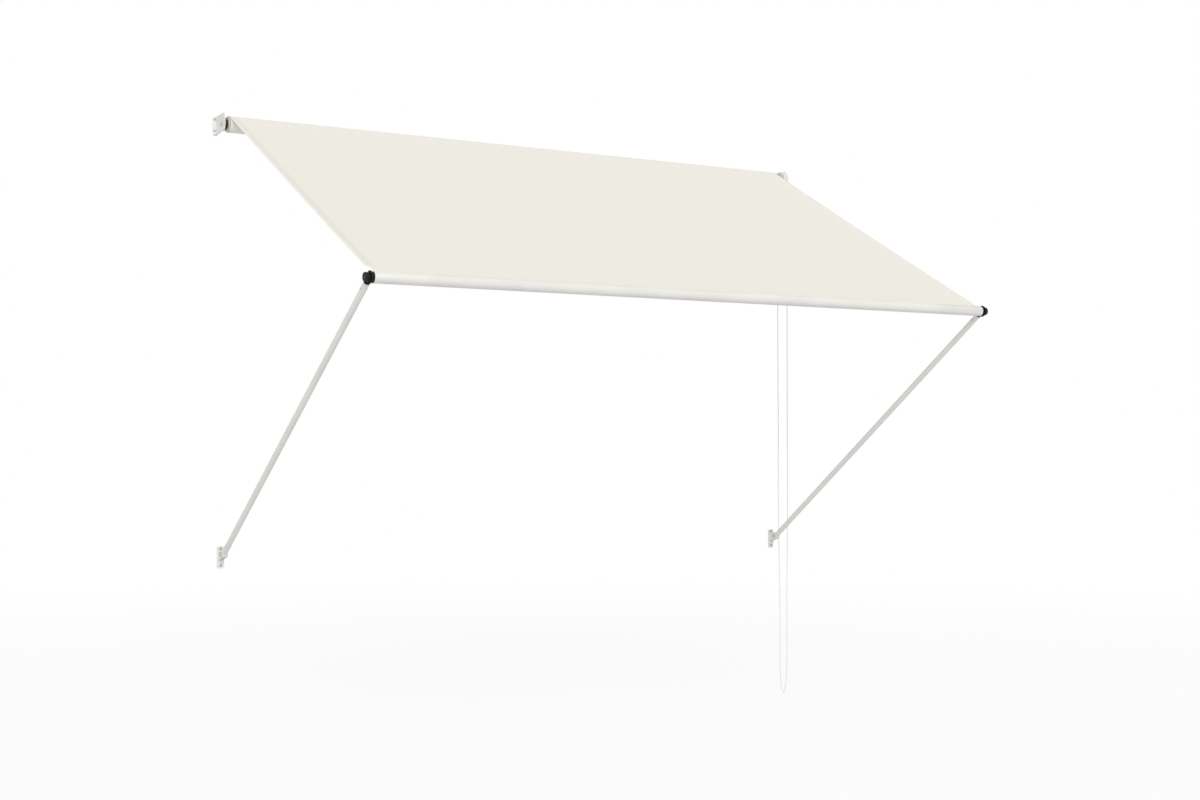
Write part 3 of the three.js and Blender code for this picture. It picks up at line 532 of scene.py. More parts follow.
def beadedLine(path, count):
    # beads evenly along a path in the chain's plane, on a thin cord that runs through them
    centres, length = evenly(path, count, 0.5)
    line, _ = evenly(path, 2 * count + 1)
    ball = beads(centres, np.gradient(centres, axis=0), chain["beadRadius"])
    cord = swept(line, np.array([1.0, 0, 0]), chain["linkRadius"], 6)
    return [ball, cord], line, length


def addChain():
    plane = np.array([chainX, rollerY, rollerZ])
    pitch = 2 * math.pi * chain["wheelPitch"] / chain["beadsRound"]
    flat = smoothRoute(np.array(chain["route"]) / mm)
    path = np.concatenate([np.zeros((len(flat), 1)), flat], 1) + plane
    run = np.linalg.norm(np.diff(path, axis=0), axis=1).sum()
    shells, line, length = beadedLine(path, round(run / pitch))
    hanging = addPiece("bead_chain_loop", meshOf("beadChain", shells), acetal, "wall_mount",
                       ("bead_chain",), 60)
    angle = np.linspace(0, math.pi, 121)[:, None]
    arch = plane + chain["wheelPitch"] * np.concatenate([0 * angle, -np.cos(angle), np.sin(angle)], 1)
    over, _, _ = beadedLine(arch, chain["beadsRound"] // 2)
    addPiece("bead_chain_on_wheel", meshOf("beadsOnWheel", over), acetal, "wall_mount",
             ("chain_over_wheel",), 60)
    print("chain", round(length), "mm long")


addChain()


# ---- cloth ----
cloth = {
    "lift": 29.45, "thick": 0.5, "hemWidth": 16, "hemExtra": 0.45, "sag": 3.0, "back": 6.6,
    "notchWidth": 15, "notchDepth": 34, "notchCurve": 10, "notchSide": 60, "notchFade": 200, "frontHem": 24,
    "waveHeight": 0.35, "shortWave": 61, "longWave": 173, "waveShift": 1.1,
    # rows of stitches: their pitch, their distance from the hems' edges, and where they start and end
    "stitchPitch": 4.6, "stitchEdge": 4, "innerEdge": 3, "firstStitch": 14, "lastStitch": 20,
    "frontStart": 44,
    "slackAtFront": 0.015,  # share of the sag's parabola that is left at the front hem
}


def smoothStep(t):
    t = np.clip(t, 0, 1)
    return t * t * (3 - 2 * t)


def clothPlaces(rows, columns):
    # the sheet's mid surface: x runs from edge to edge, y down the slope, and the height sags in a shallow
    # parabola between roll and bar, with faint lengthwise tension waves near the bar
    left, right = clothX
    front = -clothReach + cloth["back"]
    y = rows[:, None] * front
    cut = smoothStep((front + cloth["notchDepth"] - y) / cloth["notchCurve"]) * cloth["notchWidth"]
    fromLeft = columns[None, :] * (right - left)
    nearLeft = 1 - smoothStep((fromLeft - cloth["notchSide"]) / cloth["notchFade"])
    x = left + fromLeft + cut * nearLeft
    slack = 4 * rows * (1 - rows)
    ripple = np.sin(x / cloth["shortWave"]) * np.sin(x / cloth["longWave"] + cloth["waveShift"])
    waves = cloth["waveHeight"] * ripple * (rows * slack)[:, None]
    z = cloth["lift"] + cloth["thick"] / 2 - cloth["sag"] * slack[:, None] + waves
    return x, y + 0 * x, z


def sheetShell(top, bottom, seat):
    # top and bottom of a sheet as one closed loop across its width, carried down its length and capped
    loop = np.concatenate([top, bottom[:, ::-1]], 1)
    rows, columns = loop.shape[:2]
    faces = [gridFaces(rows, columns, False, True)]
    index = np.arange(columns // 2 - 1)
    for start in (0, (rows - 1) * columns):
        cap = [start + index, start + index + 1, start + columns - 2 - index, start + columns - 1 - index]
        faces.append(np.stack(cap, -1))
    return placed(loop, seat), np.concatenate(faces)


def clothAttribute(mesh, places):  # stores each vertex's place on the flat cloth, in millimetres
    layer = mesh.attributes.new("clothPlace", "FLOAT_VECTOR", "POINT")
    layer.data.foreach_set("vector", places.astype(np.float32).ravel())


def flatPlaces(mesh, seat):  # a vertex's place in its seat's own frame, which is its place on a flat cloth
    local = readPoints(mesh) - np.array(seat[0])
    c, s = math.cos(seat[1]), math.sin(seat[1])
    return np.stack([local[:, 0], local[:, 1] * c + local[:, 2] * s, local[:, 2] * c - local[:, 1] * s], 1)


def stitches(starts, direction, normal, length, lift, radius=0.35):
    # short threads that lie on the cloth: each a shallow arch, thick in the middle, dipping in at both ends
    t = np.linspace(0, 1, 6)
    arch = np.sin(math.pi * t)
    angle = np.linspace(0, 2 * math.pi, 5, endpoint=False)
    side = np.cross(normal, direction)
    centre = t[:, None] * length * direction + (arch * lift)[:, None] * normal
    ring = np.cos(angle)[:, None] * side + np.sin(angle)[:, None] * normal
    size = radius * np.sqrt(np.maximum(arch, 0.02))
    pattern = centre[:, None] + size[:, None, None] * ring[None]
    points = starts[:, None, None] + pattern[None]
    one = gridFaces(len(t), len(angle), False, True)
    shifts = (np.arange(len(starts)) * len(t) * len(angle))[:, None, None]
    return points, (one[None] + shifts).reshape(-1, 4)


def addStitches(name, starts, direction, seat, body, length=3.2):
    points, faces = stitches(starts, np.array(direction, float), np.array([0, 0, 1.0]), length, 0.25)
    mesh = meshOf(name, [(placed(points, seat), faces)])
    filled = bmesh.new()
    filled.from_mesh(mesh)
    bmesh.ops.holes_fill(filled, edges=filled.edges, sides=6)
    bmesh.ops.recalc_face_normals(filled, faces=filled.faces)
    filled.to_mesh(mesh)
    filled.free()
    return addPiece(name, mesh, thread, body, (), 80)


def addCanopy():
    left, right = clothX
    width = right - left
    hem = cloth["hemWidth"] / width
    edge = 0.6 / width
    leftSide = np.array([0, edge, hem - edge, hem])
    columns = np.concatenate([leftSide, np.linspace(hem, 1 - hem, 121)[1:-1], 1 - leftSide[::-1]])
    frontRow = 1 - (cloth["notchDepth"] + 4) / clothReach
    rows = np.concatenate([np.linspace(0, frontRow, 56)[:-1], np.linspace(frontRow, 1, 25)])
    x, y, z = clothPlaces(rows, columns)
    doubled = np.where((columns < hem - edge / 2) | (columns > 1 - hem + edge / 2), 1.0, 0.0)
    doubled[[0, -1]] = 0.4
    fromFront = (1 - rows) * clothReach
    frontDoubled = 1 - smoothStep((fromFront - cloth["frontHem"]) / 1.2)
    extra = cloth["hemExtra"] * np.maximum(doubled[None, :], frontDoubled[:, None])
    half = cloth["thick"] / 2
    shell = sheetShell(np.stack([x, y, z + half + extra], -1), np.stack([x, y, z - half], -1), onCloth)
    mesh = meshOf("canopySheet", [shell])
    clothAttribute(mesh, flatPlaces(mesh, onCloth))
    sheet = addPiece("canopy_sheet", mesh, canvas, "cloth", ("canopy",), 50)

    step = cloth["stitchPitch"]
    down = np.arange(cloth["firstStitch"], clothReach - cloth["notchDepth"] - cloth["lastStitch"], step)
    share = down / clothReach
    height = (cloth["lift"] + cloth["thick"] + cloth["hemExtra"] - 0.1
              - cloth["sag"] * 4 * share * (1 - share))
    rowsOfStitches = []
    for inset in (cloth["hemWidth"] - cloth["innerEdge"], cloth["stitchEdge"]):
        for x0 in (left + inset, right - inset):
            rowsOfStitches.append(np.stack([np.full(len(down), x0), -down, height], 1))
    sides = addStitches("canopy_side_stitches", np.concatenate(rowsOfStitches), (0, -1, 0), onCloth, "cloth")
    across = np.arange(left + cloth["frontStart"], right - cloth["lastStitch"], step)
    frontY = -clothReach + cloth["frontHem"] - cloth["stitchEdge"]
    frontZ = (cloth["lift"] + cloth["thick"] + cloth["hemExtra"] - 0.15
              - 4 * cloth["sag"] * cloth["slackAtFront"])
    starts = np.stack([across, np.full(len(across), frontY), np.full(len(across), frontZ)], 1)
    front = addStitches("canopy_front_stitches", starts, (1, 0, 0), onCloth, "cloth")

    for piece in (sheet, sides, front):
        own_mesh(piece)


def spiralShell(inner, outer, turns, thick, x0, x1, seat):
    # a strip of cloth wound round the tube: its radius grows evenly with the angle, and ends at the crown
    angle = np.linspace(-turns * 2 * math.pi, 0, round(turns * 72) + 1)
    low = inner + (outer - thick - inner) * np.linspace(0, 1, len(angle))
    low, high = low, low + thick
    x = np.array([x0, x0 + 0.4, x1 - 0.4, x1])
    ease = np.array([0.12, 0, 0, 0.12])

    def ring(radius, shift):
        size = radius[:, None] + shift[None, :]
        return np.stack([x[None, :] + 0 * size, -size * np.sin(angle)[:, None],
                         size * np.cos(angle)[:, None]], -1)

    return sheetShell(ring(high, -ease), ring(low, ease), seat)


def addRoll():
    shell = spiralShell(rollRadius - 1.65, rollRadius, 2, 0.72, *clothX, onCloth)
    mesh = meshOf("fabricTurns", [shell])
    local = flatPlaces(mesh, onCloth)
    around = np.arctan2(-local[:, 1], local[:, 2]) * rollRadius
    clothAttribute(mesh, np.stack([local[:, 0], around, 0 * around], 1))
    addPiece("fabric_turns", mesh, canvas, "roller", ("fabric_roll",), 50)


# ---- tubes with a keyhole groove ----
barTube = {"wall": 1.5, "centre": 14, "bore": 2.8, "boss": 3.9, "slot": 2, "turn": -20, "lip": 0.35}
rollerTube = {"radius": 27, "wall": 1.2, "centre": 23.2, "bore": 2.6, "boss": 3.7, "slot": 1.8, "turn": 200,
              "lip": 0.3}


def grooveOutlines(radius, groove, around=84, inBore=28):
    # outer outline: the tube's circle, the lips, the slot's two sides and the bore; inner outline: the
    # tube's inner circle and the boss round the bore. Both have the same number of points.
    slot, bore, boss, centre, lip = (groove[key] for key in ("slot", "bore", "boss", "centre", "lip"))
    mouth = math.asin((slot / 2 + lip) / radius)
    circle = np.linspace(mouth, 2 * math.pi - mouth, around)
    outerCircle = radius * np.stack([-np.sin(circle), np.cos(circle)], 1)
    neck = math.asin(slot / 2 / bore)
    inBoreAngle = np.linspace(neck, 2 * math.pi - neck, inBore)
    boreArc = np.stack([-bore * np.sin(inBoreAngle), centre + bore * np.cos(inBoreAngle)], 1)
    lipTop, lipLow = math.sqrt(radius ** 2 - (slot / 2 + lip) ** 2) - 0.1, radius - lip - 0.15
    leftLip = np.array([[slot / 2 + lip * 0.4, lipTop], [slot / 2, lipLow]])
    innerRadius = radius - groove["wall"]
    meet = (innerRadius ** 2 + centre ** 2 - boss ** 2) / (2 * centre)
    meetHalf = math.sqrt(max(innerRadius ** 2 - meet ** 2, 0.01))
    innerMouth = math.atan2(meetHalf, meet)
    innerCircle = np.linspace(innerMouth, 2 * math.pi - innerMouth, around)
    innerRing = innerRadius * np.stack([-np.sin(innerCircle), np.cos(innerCircle)], 1)
    bossStart = math.atan2(meetHalf, meet - centre)
    bossAngle = np.linspace(bossStart, 2 * math.pi - bossStart, inBore + 4)
    bossArc = np.stack([-boss * np.sin(bossAngle), centre + boss * np.cos(bossAngle)], 1)
    outer = np.concatenate([outerCircle, leftLip, boreArc[::-1], leftLip[::-1] * [-1, 1]])
    inner = np.concatenate([innerRing, bossArc[::-1]])
    return outer, inner


def turnOutline(outline, degrees):  # turns an outline in Y and Z about the tube's axis
    a = math.radians(degrees)
    y, z = outline.T
    return np.stack([y * math.cos(a) - z * math.sin(a), y * math.sin(a) + z * math.cos(a)], 1)


def addGroovedTube(name, node, radius, groove, seat, look, body):
    outer, inner = (turnOutline(line, groove["turn"]) for line in grooveOutlines(radius, groove))
    x0, x1 = span(node)[0][0], span(node)[1][0]
    addPiece(name, meshOf(name, [walled(outer, inner, x0, x1, seat)]), look, body, (node,), 40)


def rodShell(radius, x0, x1, centre, seat, sides=16):
    # round rod along X with eased ends
    profile = [(x0, 0, 0), (x0, radius, 0.4), (x1, radius, 0.4), (x1, 0, 0)]
    points, faces = turned(profile, ((0, 0, 0), 0), False, sides)
    return placed(points + np.array([0, *centre]), seat), faces


def grooveCentre(groove):
    a = math.radians(groove["turn"])
    return -groove["centre"] * math.sin(a), groove["centre"] * math.cos(a)


def addSpline(name, node, groove, radius, seat, body):
    x0, x1 = span(node)[0][0], span(node)[1][0]
    shell = rodShell(radius, x0, x1, grooveCentre(groove), seat)
    addPiece(name, meshOf(name, [shell]), acetal, body, (node,))


def addHemPocket():
    # the hem's pocket: a loop of cloth round the spline, which leaves the bar through the slot as two layers
    centre, bore, slot = barTube["centre"], barTube["bore"], barTube["slot"]
    top = barRadius + 1.3
    neck = math.asin(0.5 / (bore - 0.06))
    angle = np.linspace(neck, 2 * math.pi - neck, 30)
    direction = np.stack([-np.sin(angle), np.cos(angle)], 1)
    outerLoop = direction * (bore - 0.06) + [0, centre]
    innerLoop = direction * (bore - 0.44) + [0, centre]
    outer = np.concatenate([[[0.5, top]], [[-0.5, top]], outerLoop * [1, 1]])
    inner = np.concatenate([[[0.04, top - 0.5]], [[-0.04, top - 0.5]], innerLoop])
    a, b = (turnOutline(line, barTube["turn"]) for line in (outer, inner))
    x0, x1 = span("bar_spline")[0][0], span("bar_spline")[1][0]
    mesh = meshOf("hemPocket", [walled(a, b, x0, x1, onBar, 60, 0.1)])
    clothAttribute(mesh, flatPlaces(mesh, onBar))
    addPiece("canopy_hem_pocket", mesh, canvas, "bar", (), 50)


addRoll()
addGroovedTube("front_bar_tube", "front_bar", barRadius, barTube, onBar, coat, "bar")
addGroovedTube("roller_tube_shell", "roller_tube", rollerTube["radius"], rollerTube, onRoller, zinc,
               "roller")
addSpline("bar_spline_rod", "bar_spline", barTube, 2.3, onBar, "bar")
addSpline("roller_spline_rod", "roller_spline", rollerTube, 2.2, onRoller, "roller")
addHemPocket()
addCanopy()
print("cloth and tubes ready")


# ---- knuckles at the bar's ends ----
knuckle = {"button": 14.2, "outer": 18, "half": 4.5, "journal": 13, "collar": 15, "collarEnd": 9.7,
           "spigotEnd": 45.7, "wall": 3, "bore": 2, "recess": 4, "mouth": 5}


def endSeat(side):  # the bar's axis in one arm's plane
    return (armX[side], barY, barZ), clothTurn


def atEnd(mesh, side):  # a copy of a mesh made for the left end, +X inboard, laid at either end
    inboard = 1 if side == "left" else -1
    copy = layMesh(mesh, placed(readPoints(mesh) * [inboard, 1, 1], endSeat(side)))
    if inboard < 0:
        copy.flip_normals()
    return copy


nowhere = ((0, 0, 0), 0)


def addButton(side):
    # outer cap: a turned face with a rounded rim, one shallow ring pressed in it, and the screw's recess
    right = -knuckle["half"] - 2 * gap
    outer, rim = -knuckle["outer"], knuckle["button"]
    ringFloor, recessFloor = outer + 0.7, outer + knuckle["recess"]
    profile = [(right, 2.2, 0), (right, rim, 0.8), (outer, rim, 2.6), (outer, 10.6, 0.3),
               (ringFloor, 10, 0.3), (ringFloor, 9, 0.3), (outer, 8.4, 0.3), (outer, knuckle["mouth"], 0.5),
               (recessFloor, knuckle["mouth"] - 0.4, 0.3), (recessFloor, 2.2, 0)]
    cap = meshOf("barCap", [turned(profile, nowhere, True, 64)])
    addPiece("bar_cap_" + side, atEnd(cap, side), black, "bar", ("bar_button_" + side,))


def addBarPlug(side):
    # journal that turns in the arm's eye, a collar against the bar, and a hollow spigot inside it
    left, half, end = -knuckle["half"] - gap, knuckle["half"] + gap, knuckle["spigotEnd"]
    collar, spigot, wall = knuckle["collarEnd"], barRadius - barTube["wall"] - gap, knuckle["wall"]
    bossEnd, boss = end / 2 - 1, 3 * knuckle["bore"]
    profile = [(left, knuckle["bore"], 0), (left, knuckle["journal"], 0.5), (half, knuckle["journal"], 0.2),
               (half, knuckle["collar"], 0.7), (collar, knuckle["collar"], 0.3), (collar, spigot, 0.2),
               (end, spigot, 1.2), (end, spigot - wall, 0.3), (collar + wall, spigot - wall, 0.5),
               (collar + wall, boss, 0.5), (bossEnd, boss, 0.4), (bossEnd, knuckle["bore"], 0)]
    plug = meshOf("barPlug", [turned(profile, nowhere, True, 64)])
    channel = rodShell(barTube["boss"] + gap, collar, end + 1, grooveCentre(barTube), nowhere)
    cut = cutAway(plug, meshOf("channel", [channel]))
    addPiece("bar_plug_" + side + "_moulding", atEnd(cut, side), black, "bar", ("bar_plug_" + side,))


# ---- screws, rivets and bolts ----
wallScrew = {
    "lower_screw_": {"flange": 6, "rim": 0.9, "dome": 4.7, "head": 4, "shank": 2.4, "half": 2.6},
    "top_screw_": {"flange": 4.4, "rim": 0.8, "dome": 3.5, "head": 3.2, "shank": 2, "half": 2},
}


def crossed(deepest, half, blade):  # two crossed slots sunk into a head that faces -X
    out = deepest - 6
    sizes = ((half, blade), (blade, half))
    return [block((out, -wide, -high), (deepest, wide, high)) for wide, high in sizes]


def recessed(profile, recess, sides=32):
    # a head turned on X, with a cross recess cut into it
    mesh = meshOf("head", [turned(profile, nowhere, False, sides)])
    for slot in recess:
        mesh = cutAway(mesh, meshOf("slot", [slot]))
    return mesh


def wallScrewMesh(sizes):
    flange, rim, dome, head, shank, half = sizes.values()
    plate, tip, blade = 3, -0.4, 0.6
    seat = -plate - gap
    top = seat - head
    profile = [(top, 0, 0), (top, dome - 0.6, 1.6), (seat - rim - 0.1, dome, 0.2), (seat - rim, flange, 0.3),
               (seat, flange, 0.2), (seat, shank, 0), (tip, shank, 0.3), (tip, 0, 0)]
    return recessed(profile, crossed(seat - head / 2, half, blade))


def addWallScrews():
    for kind, sizes in wallScrew.items():
        pattern = wallScrewMesh(sizes)
        along, y, z = readPoints(pattern).T
        for node in (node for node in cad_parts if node.startswith(kind)):
            x0, _, z0 = middle(node)
            points = np.stack([x0 - y, along, z0 + z], 1)  # the turned axis is laid along Y
            addPiece(node + "_plated", layMesh(pattern, points), zinc, "wall_mount", (node,))


def addRivets():
    # domed heads on both sides of an arm, on a plain shank through it
    under, crown = 10.1, 11.4
    profile = [(-crown, 0, 0), (-crown, 2.6, 0.9), (-under, 3.6, 0.15), (-under, 2, 0), (under, 2, 0),
               (under, 3.6, 0.15), (crown, 2.6, 0.9), (crown, 0, 0)]
    for side in armX:
        for end in ("foot", "eye"):
            node = end + "_rivet_" + side
            seat = (tuple(middle(node)), armTurn)
            addTurned(node + "_domed", profile, seat, zinc, side + "_arm", node, False, 28)


def addPivotBolts():
    # low round head on the right, shank through both ears and the arm's foot
    profile = [(-17, 0, 0), (-17, 4, 0.8), (9.6, 4, 0), (9.6, 7, 0.3), (12, 6.2, 1.6), (12, 0, 0)]
    for side in armX:
        seat = ((armX[side], pivotY, pivotZ), 0)
        node = "pivot_bolt_" + side
        addTurned(node + "_turned", profile, seat, zinc, "wall_mount", node, False, 40)


def addButtonScrews():
    seat = -knuckle["outer"] + knuckle["recess"] - gap
    profile = [(seat - 2.6, 0, 0), (seat - 2.4, 2.6, 1.2), (seat, 3.9, 0.3), (seat, 1.7, 0), (17, 1.7, 0.6),
               (17, 0, 0)]
    pattern = recessed(profile, crossed(seat - 1.3, 2.0, 0.5), 28)
    for side in armX:
        node = "button_screw_" + side
        addPiece(node + "_plated", atEnd(pattern, side), zinc, "bar", (node,))


def addBaseScrews():
    seat = span("axle_nut")[0][0] - chainX
    profile = [(-seat - 2.4, 0, 0), (-seat - 2.2, 2.4, 1.0), (-seat, 3.4, 0.3), (-seat, 1.5, 0),
               (-6, 1.5, 0.3), (-6, 0, 0)]
    pattern = recessed(profile, crossed(-seat - 1.2, 1.9, 0.45), 24)
    for node in ("base_screw_upper", "base_screw_lower"):
        local = readPoints(pattern) * [-1, 1, 1]
        mesh = layMesh(pattern, local + [chainX, *middle(node)[1:]])
        mesh.flip_normals()
        addPiece(node + "_plated", mesh, zinc, "wall_mount", (node,))


# ---- arms ----
arm = {"radius": 10, "wall": 1.1, "bottom": 20.3, "top": 1475.7}


def addArmTubes():
    # drawn tube: its wall's section carried round the arm's axis, ends eased
    inner, outer = arm["radius"] - arm["wall"], arm["radius"]
    profile = [(arm["bottom"], inner, 0.2), (arm["bottom"], outer, 0.4), (arm["top"], outer, 0.4),
               (arm["top"], inner, 0.2)]
    for side, seat in onArm.items():
        points, faces = turned(profile, nowhere, True, 48)
        upended = np.stack([points[..., 2], points[..., 1], points[..., 0]], -1)  # laid along the arm
        mesh = meshOf("armTube", [(placed(upended, seat), faces)])
        node = "arm_tube_" + side
        addPiece(node + "_drawn", mesh, coat, side + "_arm", (node,))


# ---- idle end of the roller ----
def addIdleEnd():
    tubeLeft = span("roller_tube")[0][0]
    x0, face, end = tubeLeft - 4, tubeLeft - gap, tubeLeft + 40
    plug = [(x0, 6.4, 0.3), (x0, 15, 0.3), (x0 + 1, 16, 0.3), (x0 + 1, 21, 0.3), (x0, 22, 0.3),
            (x0, 26.3, 1), (face, 26.3, 0.2), (face, 25.4, 0), (end, 25.4, 1.2), (end, 22.5, 0.3),
            (face + 3, 22.5, 0.5), (face + 3, 11, 0.5), (end - 6, 11, 0.4), (end - 6, 6.4, 0)]
    mesh = meshOf("idlePlug", [turned(plug, onRoller, True, 64)])
    channel = rodShell(rollerTube["boss"] + gap, face, end + 1, grooveCentre(rollerTube), onRoller)
    cut = cutAway(mesh, meshOf("channel", [channel]))
    addPiece("idle_plug_moulding", cut, grey, "roller", ("idle_plug",))
    pin = [(-15.8, 0, 0), (-15.8, 8, 1.1), (-13.8, 8, 0.3), (-13.8, 6, 0.2), (46, 6, 1.6), (46, 0, 0)]
    addTurned("idle_pin_turned", pin, onRoller, steel, "wall_mount", "idle_pin")
    bush = [(-9, 6.4, 0.2), (-9, 25, 0.8), (-7, 25, 0.5), (-6, 13, 0.6), (3.7, 13, 0.4), (3.7, 6.4, 0.2)]
    addTurned("idle_bush", bush, onRoller, grey, "wall_mount", "idle_spacer", True)
    ring = [(-5.7, 13.3, 0.3), (-5.7, 17, 0.8), (-1.6, 17, 0.3), (-1.6, 16.4, 0.2), (-0.4, 16.4, 0.2),
            (-0.4, 17, 0.3), (3.7, 17, 0.8), (3.7, 13.3, 0.3)]
    addTurned("idle_ring_grooved", ring, onRoller, black, "wall_mount", "idle_ring", True)


# ---- chain drive ----
drive = {"outer": 35, "inner": 33.4, "left": -12.5, "right": 4.7, "skin": 1.5, "hole": 16.5,
         "openBelow": -9}


def addDriveCover():
    # round hood: a flat skin with a hole for the sleeve, and a rim whose depth drops to nothing below the
    # height where the two strands leave it
    outer, inner, left, right, thick, hole, openBelow = drive.values()
    steps = np.linspace(-math.pi, math.pi, 97)
    edgeAngle = math.acos(openBelow / outer)
    edges = [-edgeAngle - 1e-4, -edgeAngle, edgeAngle, edgeAngle + 1e-4]
    angle = np.unique(np.concatenate([steps[:-1], edges]))
    rimmed = np.abs(angle) <= edgeAngle + 1e-9
    skin = left + thick
    full = rounded([(left, hole, 0.3), (left, outer, 2.4), (right, outer, 0.4), (right, inner, 0.3),
                    (skin, inner, 0.8), (skin, hole, 0.3)], True, 5)
    along = np.where(rimmed[None, :], full[:, :1], np.minimum(full[:, :1], skin))
    radius = full[:, 1:] + 0 * angle[None, :]
    points = np.stack([along, -radius * np.sin(angle), radius * np.cos(angle)], -1)
    shell = placed(points, onChainWheel), gridFaces(len(full), len(angle), True, True)
    addPiece("drive_cover_hood", meshOf("driveCover", [shell]), coverWhite, "wall_mount",
             ("drive_cover",), 30)


wheel = {"groove": 2.8, "side": 4.4, "flange": 31, "root": 25, "rib": 1.2, "hub": 14, "bore": 10.9,
         "sleeve": 65}


def addChainWheel():
    # two flanges and a waist ribbed once for each bead, then a keyed sleeve that reaches into the roller
    groove, side, flange, root, rib, hub, bore, sleeve = wheel.values()
    outline = [(-sleeve, bore, 0.3), (-sleeve, hub, 0.5), (-side, hub, 0.8), (-side, flange, 0.7),
               (-groove, flange, 0.5), (-groove, root, 0.4), (groove, root, 0.4), (groove, flange, 0.5),
               (side, flange, 0.7), (side, bore, 0.3)]
    section = rounded(outline, True, 4)
    angle = np.linspace(0, 2 * math.pi, chain["beadsRound"] * 8, endpoint=False)[None, :]
    waist = ((np.abs(section[:, :1]) < groove + 0.05) & (section[:, 1:] < root + 1)).astype(float)
    keyed = (section[:, :1] < -side - 20) & (np.abs(section[:, 1:] - hub) < 0.6)
    keys = 2 * smoothStep((np.cos(3 * angle) - 0.955) / 0.02)
    ribs = rib * smoothStep(np.cos(chain["beadsRound"] * angle) * 1.5 + 0.2)
    radius = section[:, 1:] + waist * ribs + keyed * keys
    points = np.stack([section[:, :1] + 0 * angle, -radius * np.sin(angle), radius * np.cos(angle)], -1)
    shell = placed(points, onChainWheel), gridFaces(len(section), angle.shape[1], True, True)
    addPiece("chain_wheel_ribbed", meshOf("chainWheel", [shell]), acetal, "roller", ("chain_wheel",), 35)


def addAxleAndSpring():
    axle = [(-68, 0, 0), (-68, 8, 0.8), (4.7, 8, 0.3), (4.7, 5.7, 0.2), (18, 5.7, 0.7), (18, 0, 0)]
    addTurned("drive_axle_turned", axle, onChainWheel, steel, "wall_mount", "drive_axle")
    turns, pitch, mean, start = 6, 2.4, 9.4, -60
    angle = np.linspace(0, turns * 2 * math.pi, turns * 32 + 1)
    outward = np.stack([0 * angle, np.cos(angle), np.sin(angle)], 1)
    path = mean * outward + np.stack([start + pitch * angle / (2 * math.pi), 0 * angle, 0 * angle], 1)
    points, faces = swept(path, outward, 0.9, 10)
    addPiece("brake_spring_wound", meshOf("brakeSpring", [(placed(points, onChainWheel), faces)]), steel,
             "roller", ("brake_spring",))


for side in armX:
    addButton(side)
    addBarPlug(side)
    # kind, what its piece's name adds, edge width, finish, body
    for kind, added, width, look, body in (
        ("arm_eye", "moulding", 0.8, black, side + "_arm"),
        ("arm_foot", "coated", 0.8, coat, side + "_arm"),
        ("top_bracket", "pressed", 0.5, coat, "wall_mount"),
        ("lower_bracket", "pressed", 0.5, coat, "wall_mount"),
        ("pivot_nut", "plated", 0.4, zinc, "wall_mount"),
    ):
        node = kind + "_" + side
        softened(node, node + "_" + added, width, look, body)
addButtonScrews()
addWallScrews()
addRivets()
addPivotBolts()
addBaseScrews()
addArmTubes()
addIdleEnd()
addDriveCover()
addChainWheel()
addAxleAndSpring()
softened("idle_pin_clip", "idle_pin_spring_clip", 0.2, steel, "wall_mount")
softened("drive_base", "drive_base_disc", 0.5, coverWhite, "wall_mount")
softened("drive_plug", "drive_plug_moulding", 0.4, acetal, "roller")
softened("axle_nut", "axle_nut_plated", 0.5, zinc, "wall_mount")
print("hardware ready")


# ---- studio ----
studio = {"floorHeight": -2.24, "floorRadius": 30, "clearRadius": 4, "fadeRadius": 9, "leastGlow": 0.85,
          "roomLight": 0.63}


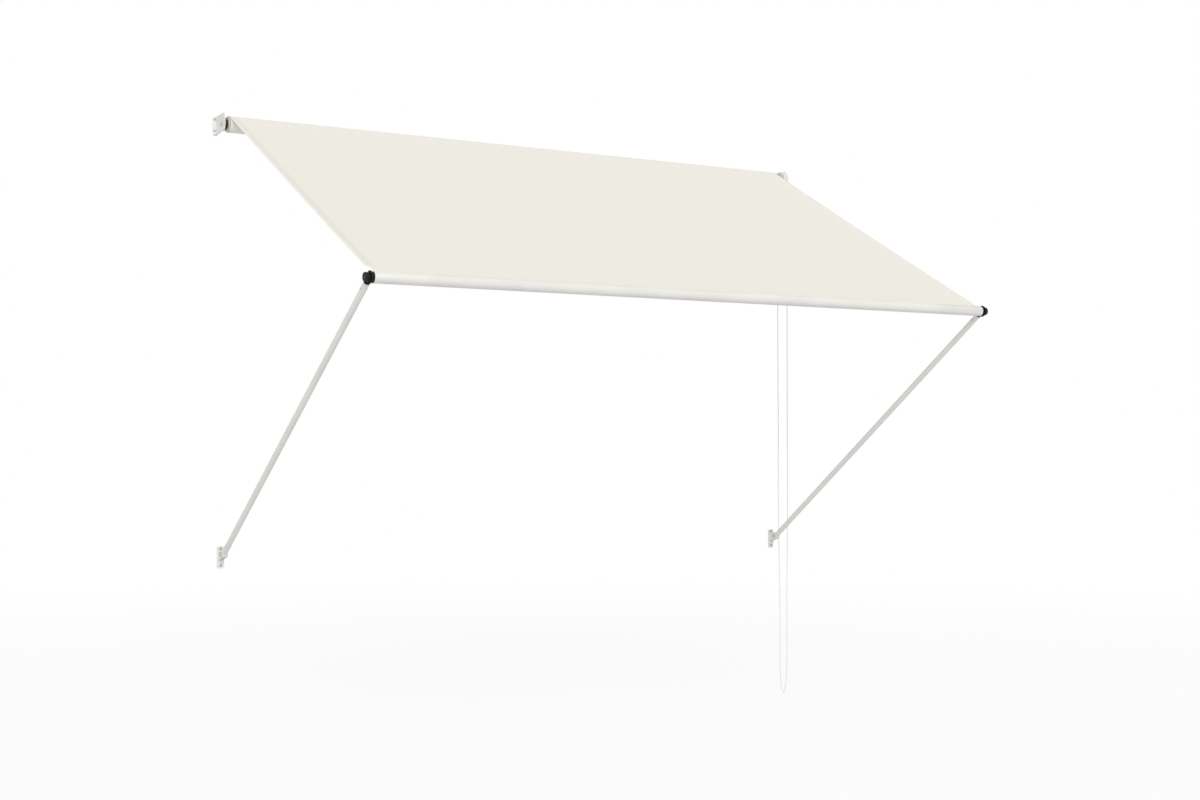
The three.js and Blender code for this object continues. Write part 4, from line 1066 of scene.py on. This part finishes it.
def addFloor():
    # a flat disc, pale and matt, that fades to the backdrop's white; it lights the object like the room does
    radius = np.array([0, 2, 4, 6, 9, 14, 20, studio["floorRadius"]])[:, None]
    angle = np.linspace(0, 2 * math.pi, 64, endpoint=False)[None, :]
    centre = (cadLow + cadHigh) / 2
    points = np.stack([centre.x + radius * np.cos(angle), centre.y + radius * np.sin(angle),
                       studio["floorHeight"] + 0 * radius * angle], -1) / mm
    mesh = meshOf("studioFloor", [(points, gridFaces(len(radius), 64, False, True))])
    look, tree, shader = startMaterial("mattStudioFloor", {"Base Color": colour("#fdfdfd"), "Roughness": 0.9,
                                                           "Specular IOR Level": 0.1})
    place = addNode(tree, "TexCoord").outputs["Object"]
    shifted = addNode(tree, "Mapping", {"Location": (-centre.x, -centre.y, 0)}, {"Vector": place})
    flat = addNode(tree, "VectorMath", {"operation": "MULTIPLY", 1: (1, 1, 0)},
                   {0: shifted.outputs["Vector"]})
    away = addNode(tree, "VectorMath", {"operation": "LENGTH"}, {0: flat.outputs["Vector"]}).outputs["Value"]
    fade = addNode(tree, "MapRange", {"From Min": studio["clearRadius"], "From Max": studio["fadeRadius"],
                                      "To Min": studio["leastGlow"], "interpolation_type": "SMOOTHSTEP"},
                   {"Value": away}).outputs["Result"]
    ray = addNode(tree, "LightPath").outputs["Is Camera Ray"]
    lit = addNode(tree, "MapRange", {"To Min": studio["roomLight"], "To Max": 1.0}, {"Value": ray})
    glow = addNode(tree, "Emission", {"Color": (1, 1, 1, 1)}, {"Strength": lit.outputs["Result"]})
    glow = glow.outputs["Emission"]
    mixed = addNode(tree, "MixShader", {}, {0: fade, 1: shader.outputs["BSDF"], 2: glow}).outputs["Shader"]
    output = next(node for node in tree.nodes if node.type == "OUTPUT_MATERIAL")
    tree.links.new(mixed, output.inputs["Surface"])
    mesh.materials.append(look)
    floor = bpy.data.objects.new("studio_floor", mesh)
    scene.collection.objects.link(floor)


def addWorld():
    # an even pale room for the light, seen as plain white
    world = bpy.data.worlds.new("paleRoom")
    world.use_nodes = True
    tree = world.node_tree
    tree.nodes.clear()
    seen = addNode(tree, "Background", {"Color": (1, 1, 1, 1), "Strength": 1.0}).outputs["Background"]
    light = addNode(tree, "Background", {"Color": (1, 1, 1, 1), "Strength": studio["roomLight"]})
    light = light.outputs["Background"]
    ray = addNode(tree, "LightPath").outputs["Is Camera Ray"]
    mixed = addNode(tree, "MixShader", {}, {0: ray, 1: light, 2: seen}).outputs["Shader"]
    addNode(tree, "OutputWorld", {}, {"Surface": mixed})
    scene.world = world


def addSoftLight(name, towards, spread, strength):
    # a far soft light: it shines along one direction, evenly, and spread in degrees softens its shadows
    data = bpy.data.lights.new(name, "SUN")
    data.angle = math.radians(spread)
    data.energy = strength
    lamp = bpy.data.objects.new(name, data)
    lamp.rotation_mode = "QUATERNION"
    lamp.rotation_quaternion = Vector(towards).to_track_quat("-Z", "Y")
    scene.collection.objects.link(lamp)


addFloor()
addWorld()
addSoftLight("keyLight", (0.36, 0.8, -0.48), 30, 1.27)
scene.view_settings.view_transform = "Standard"
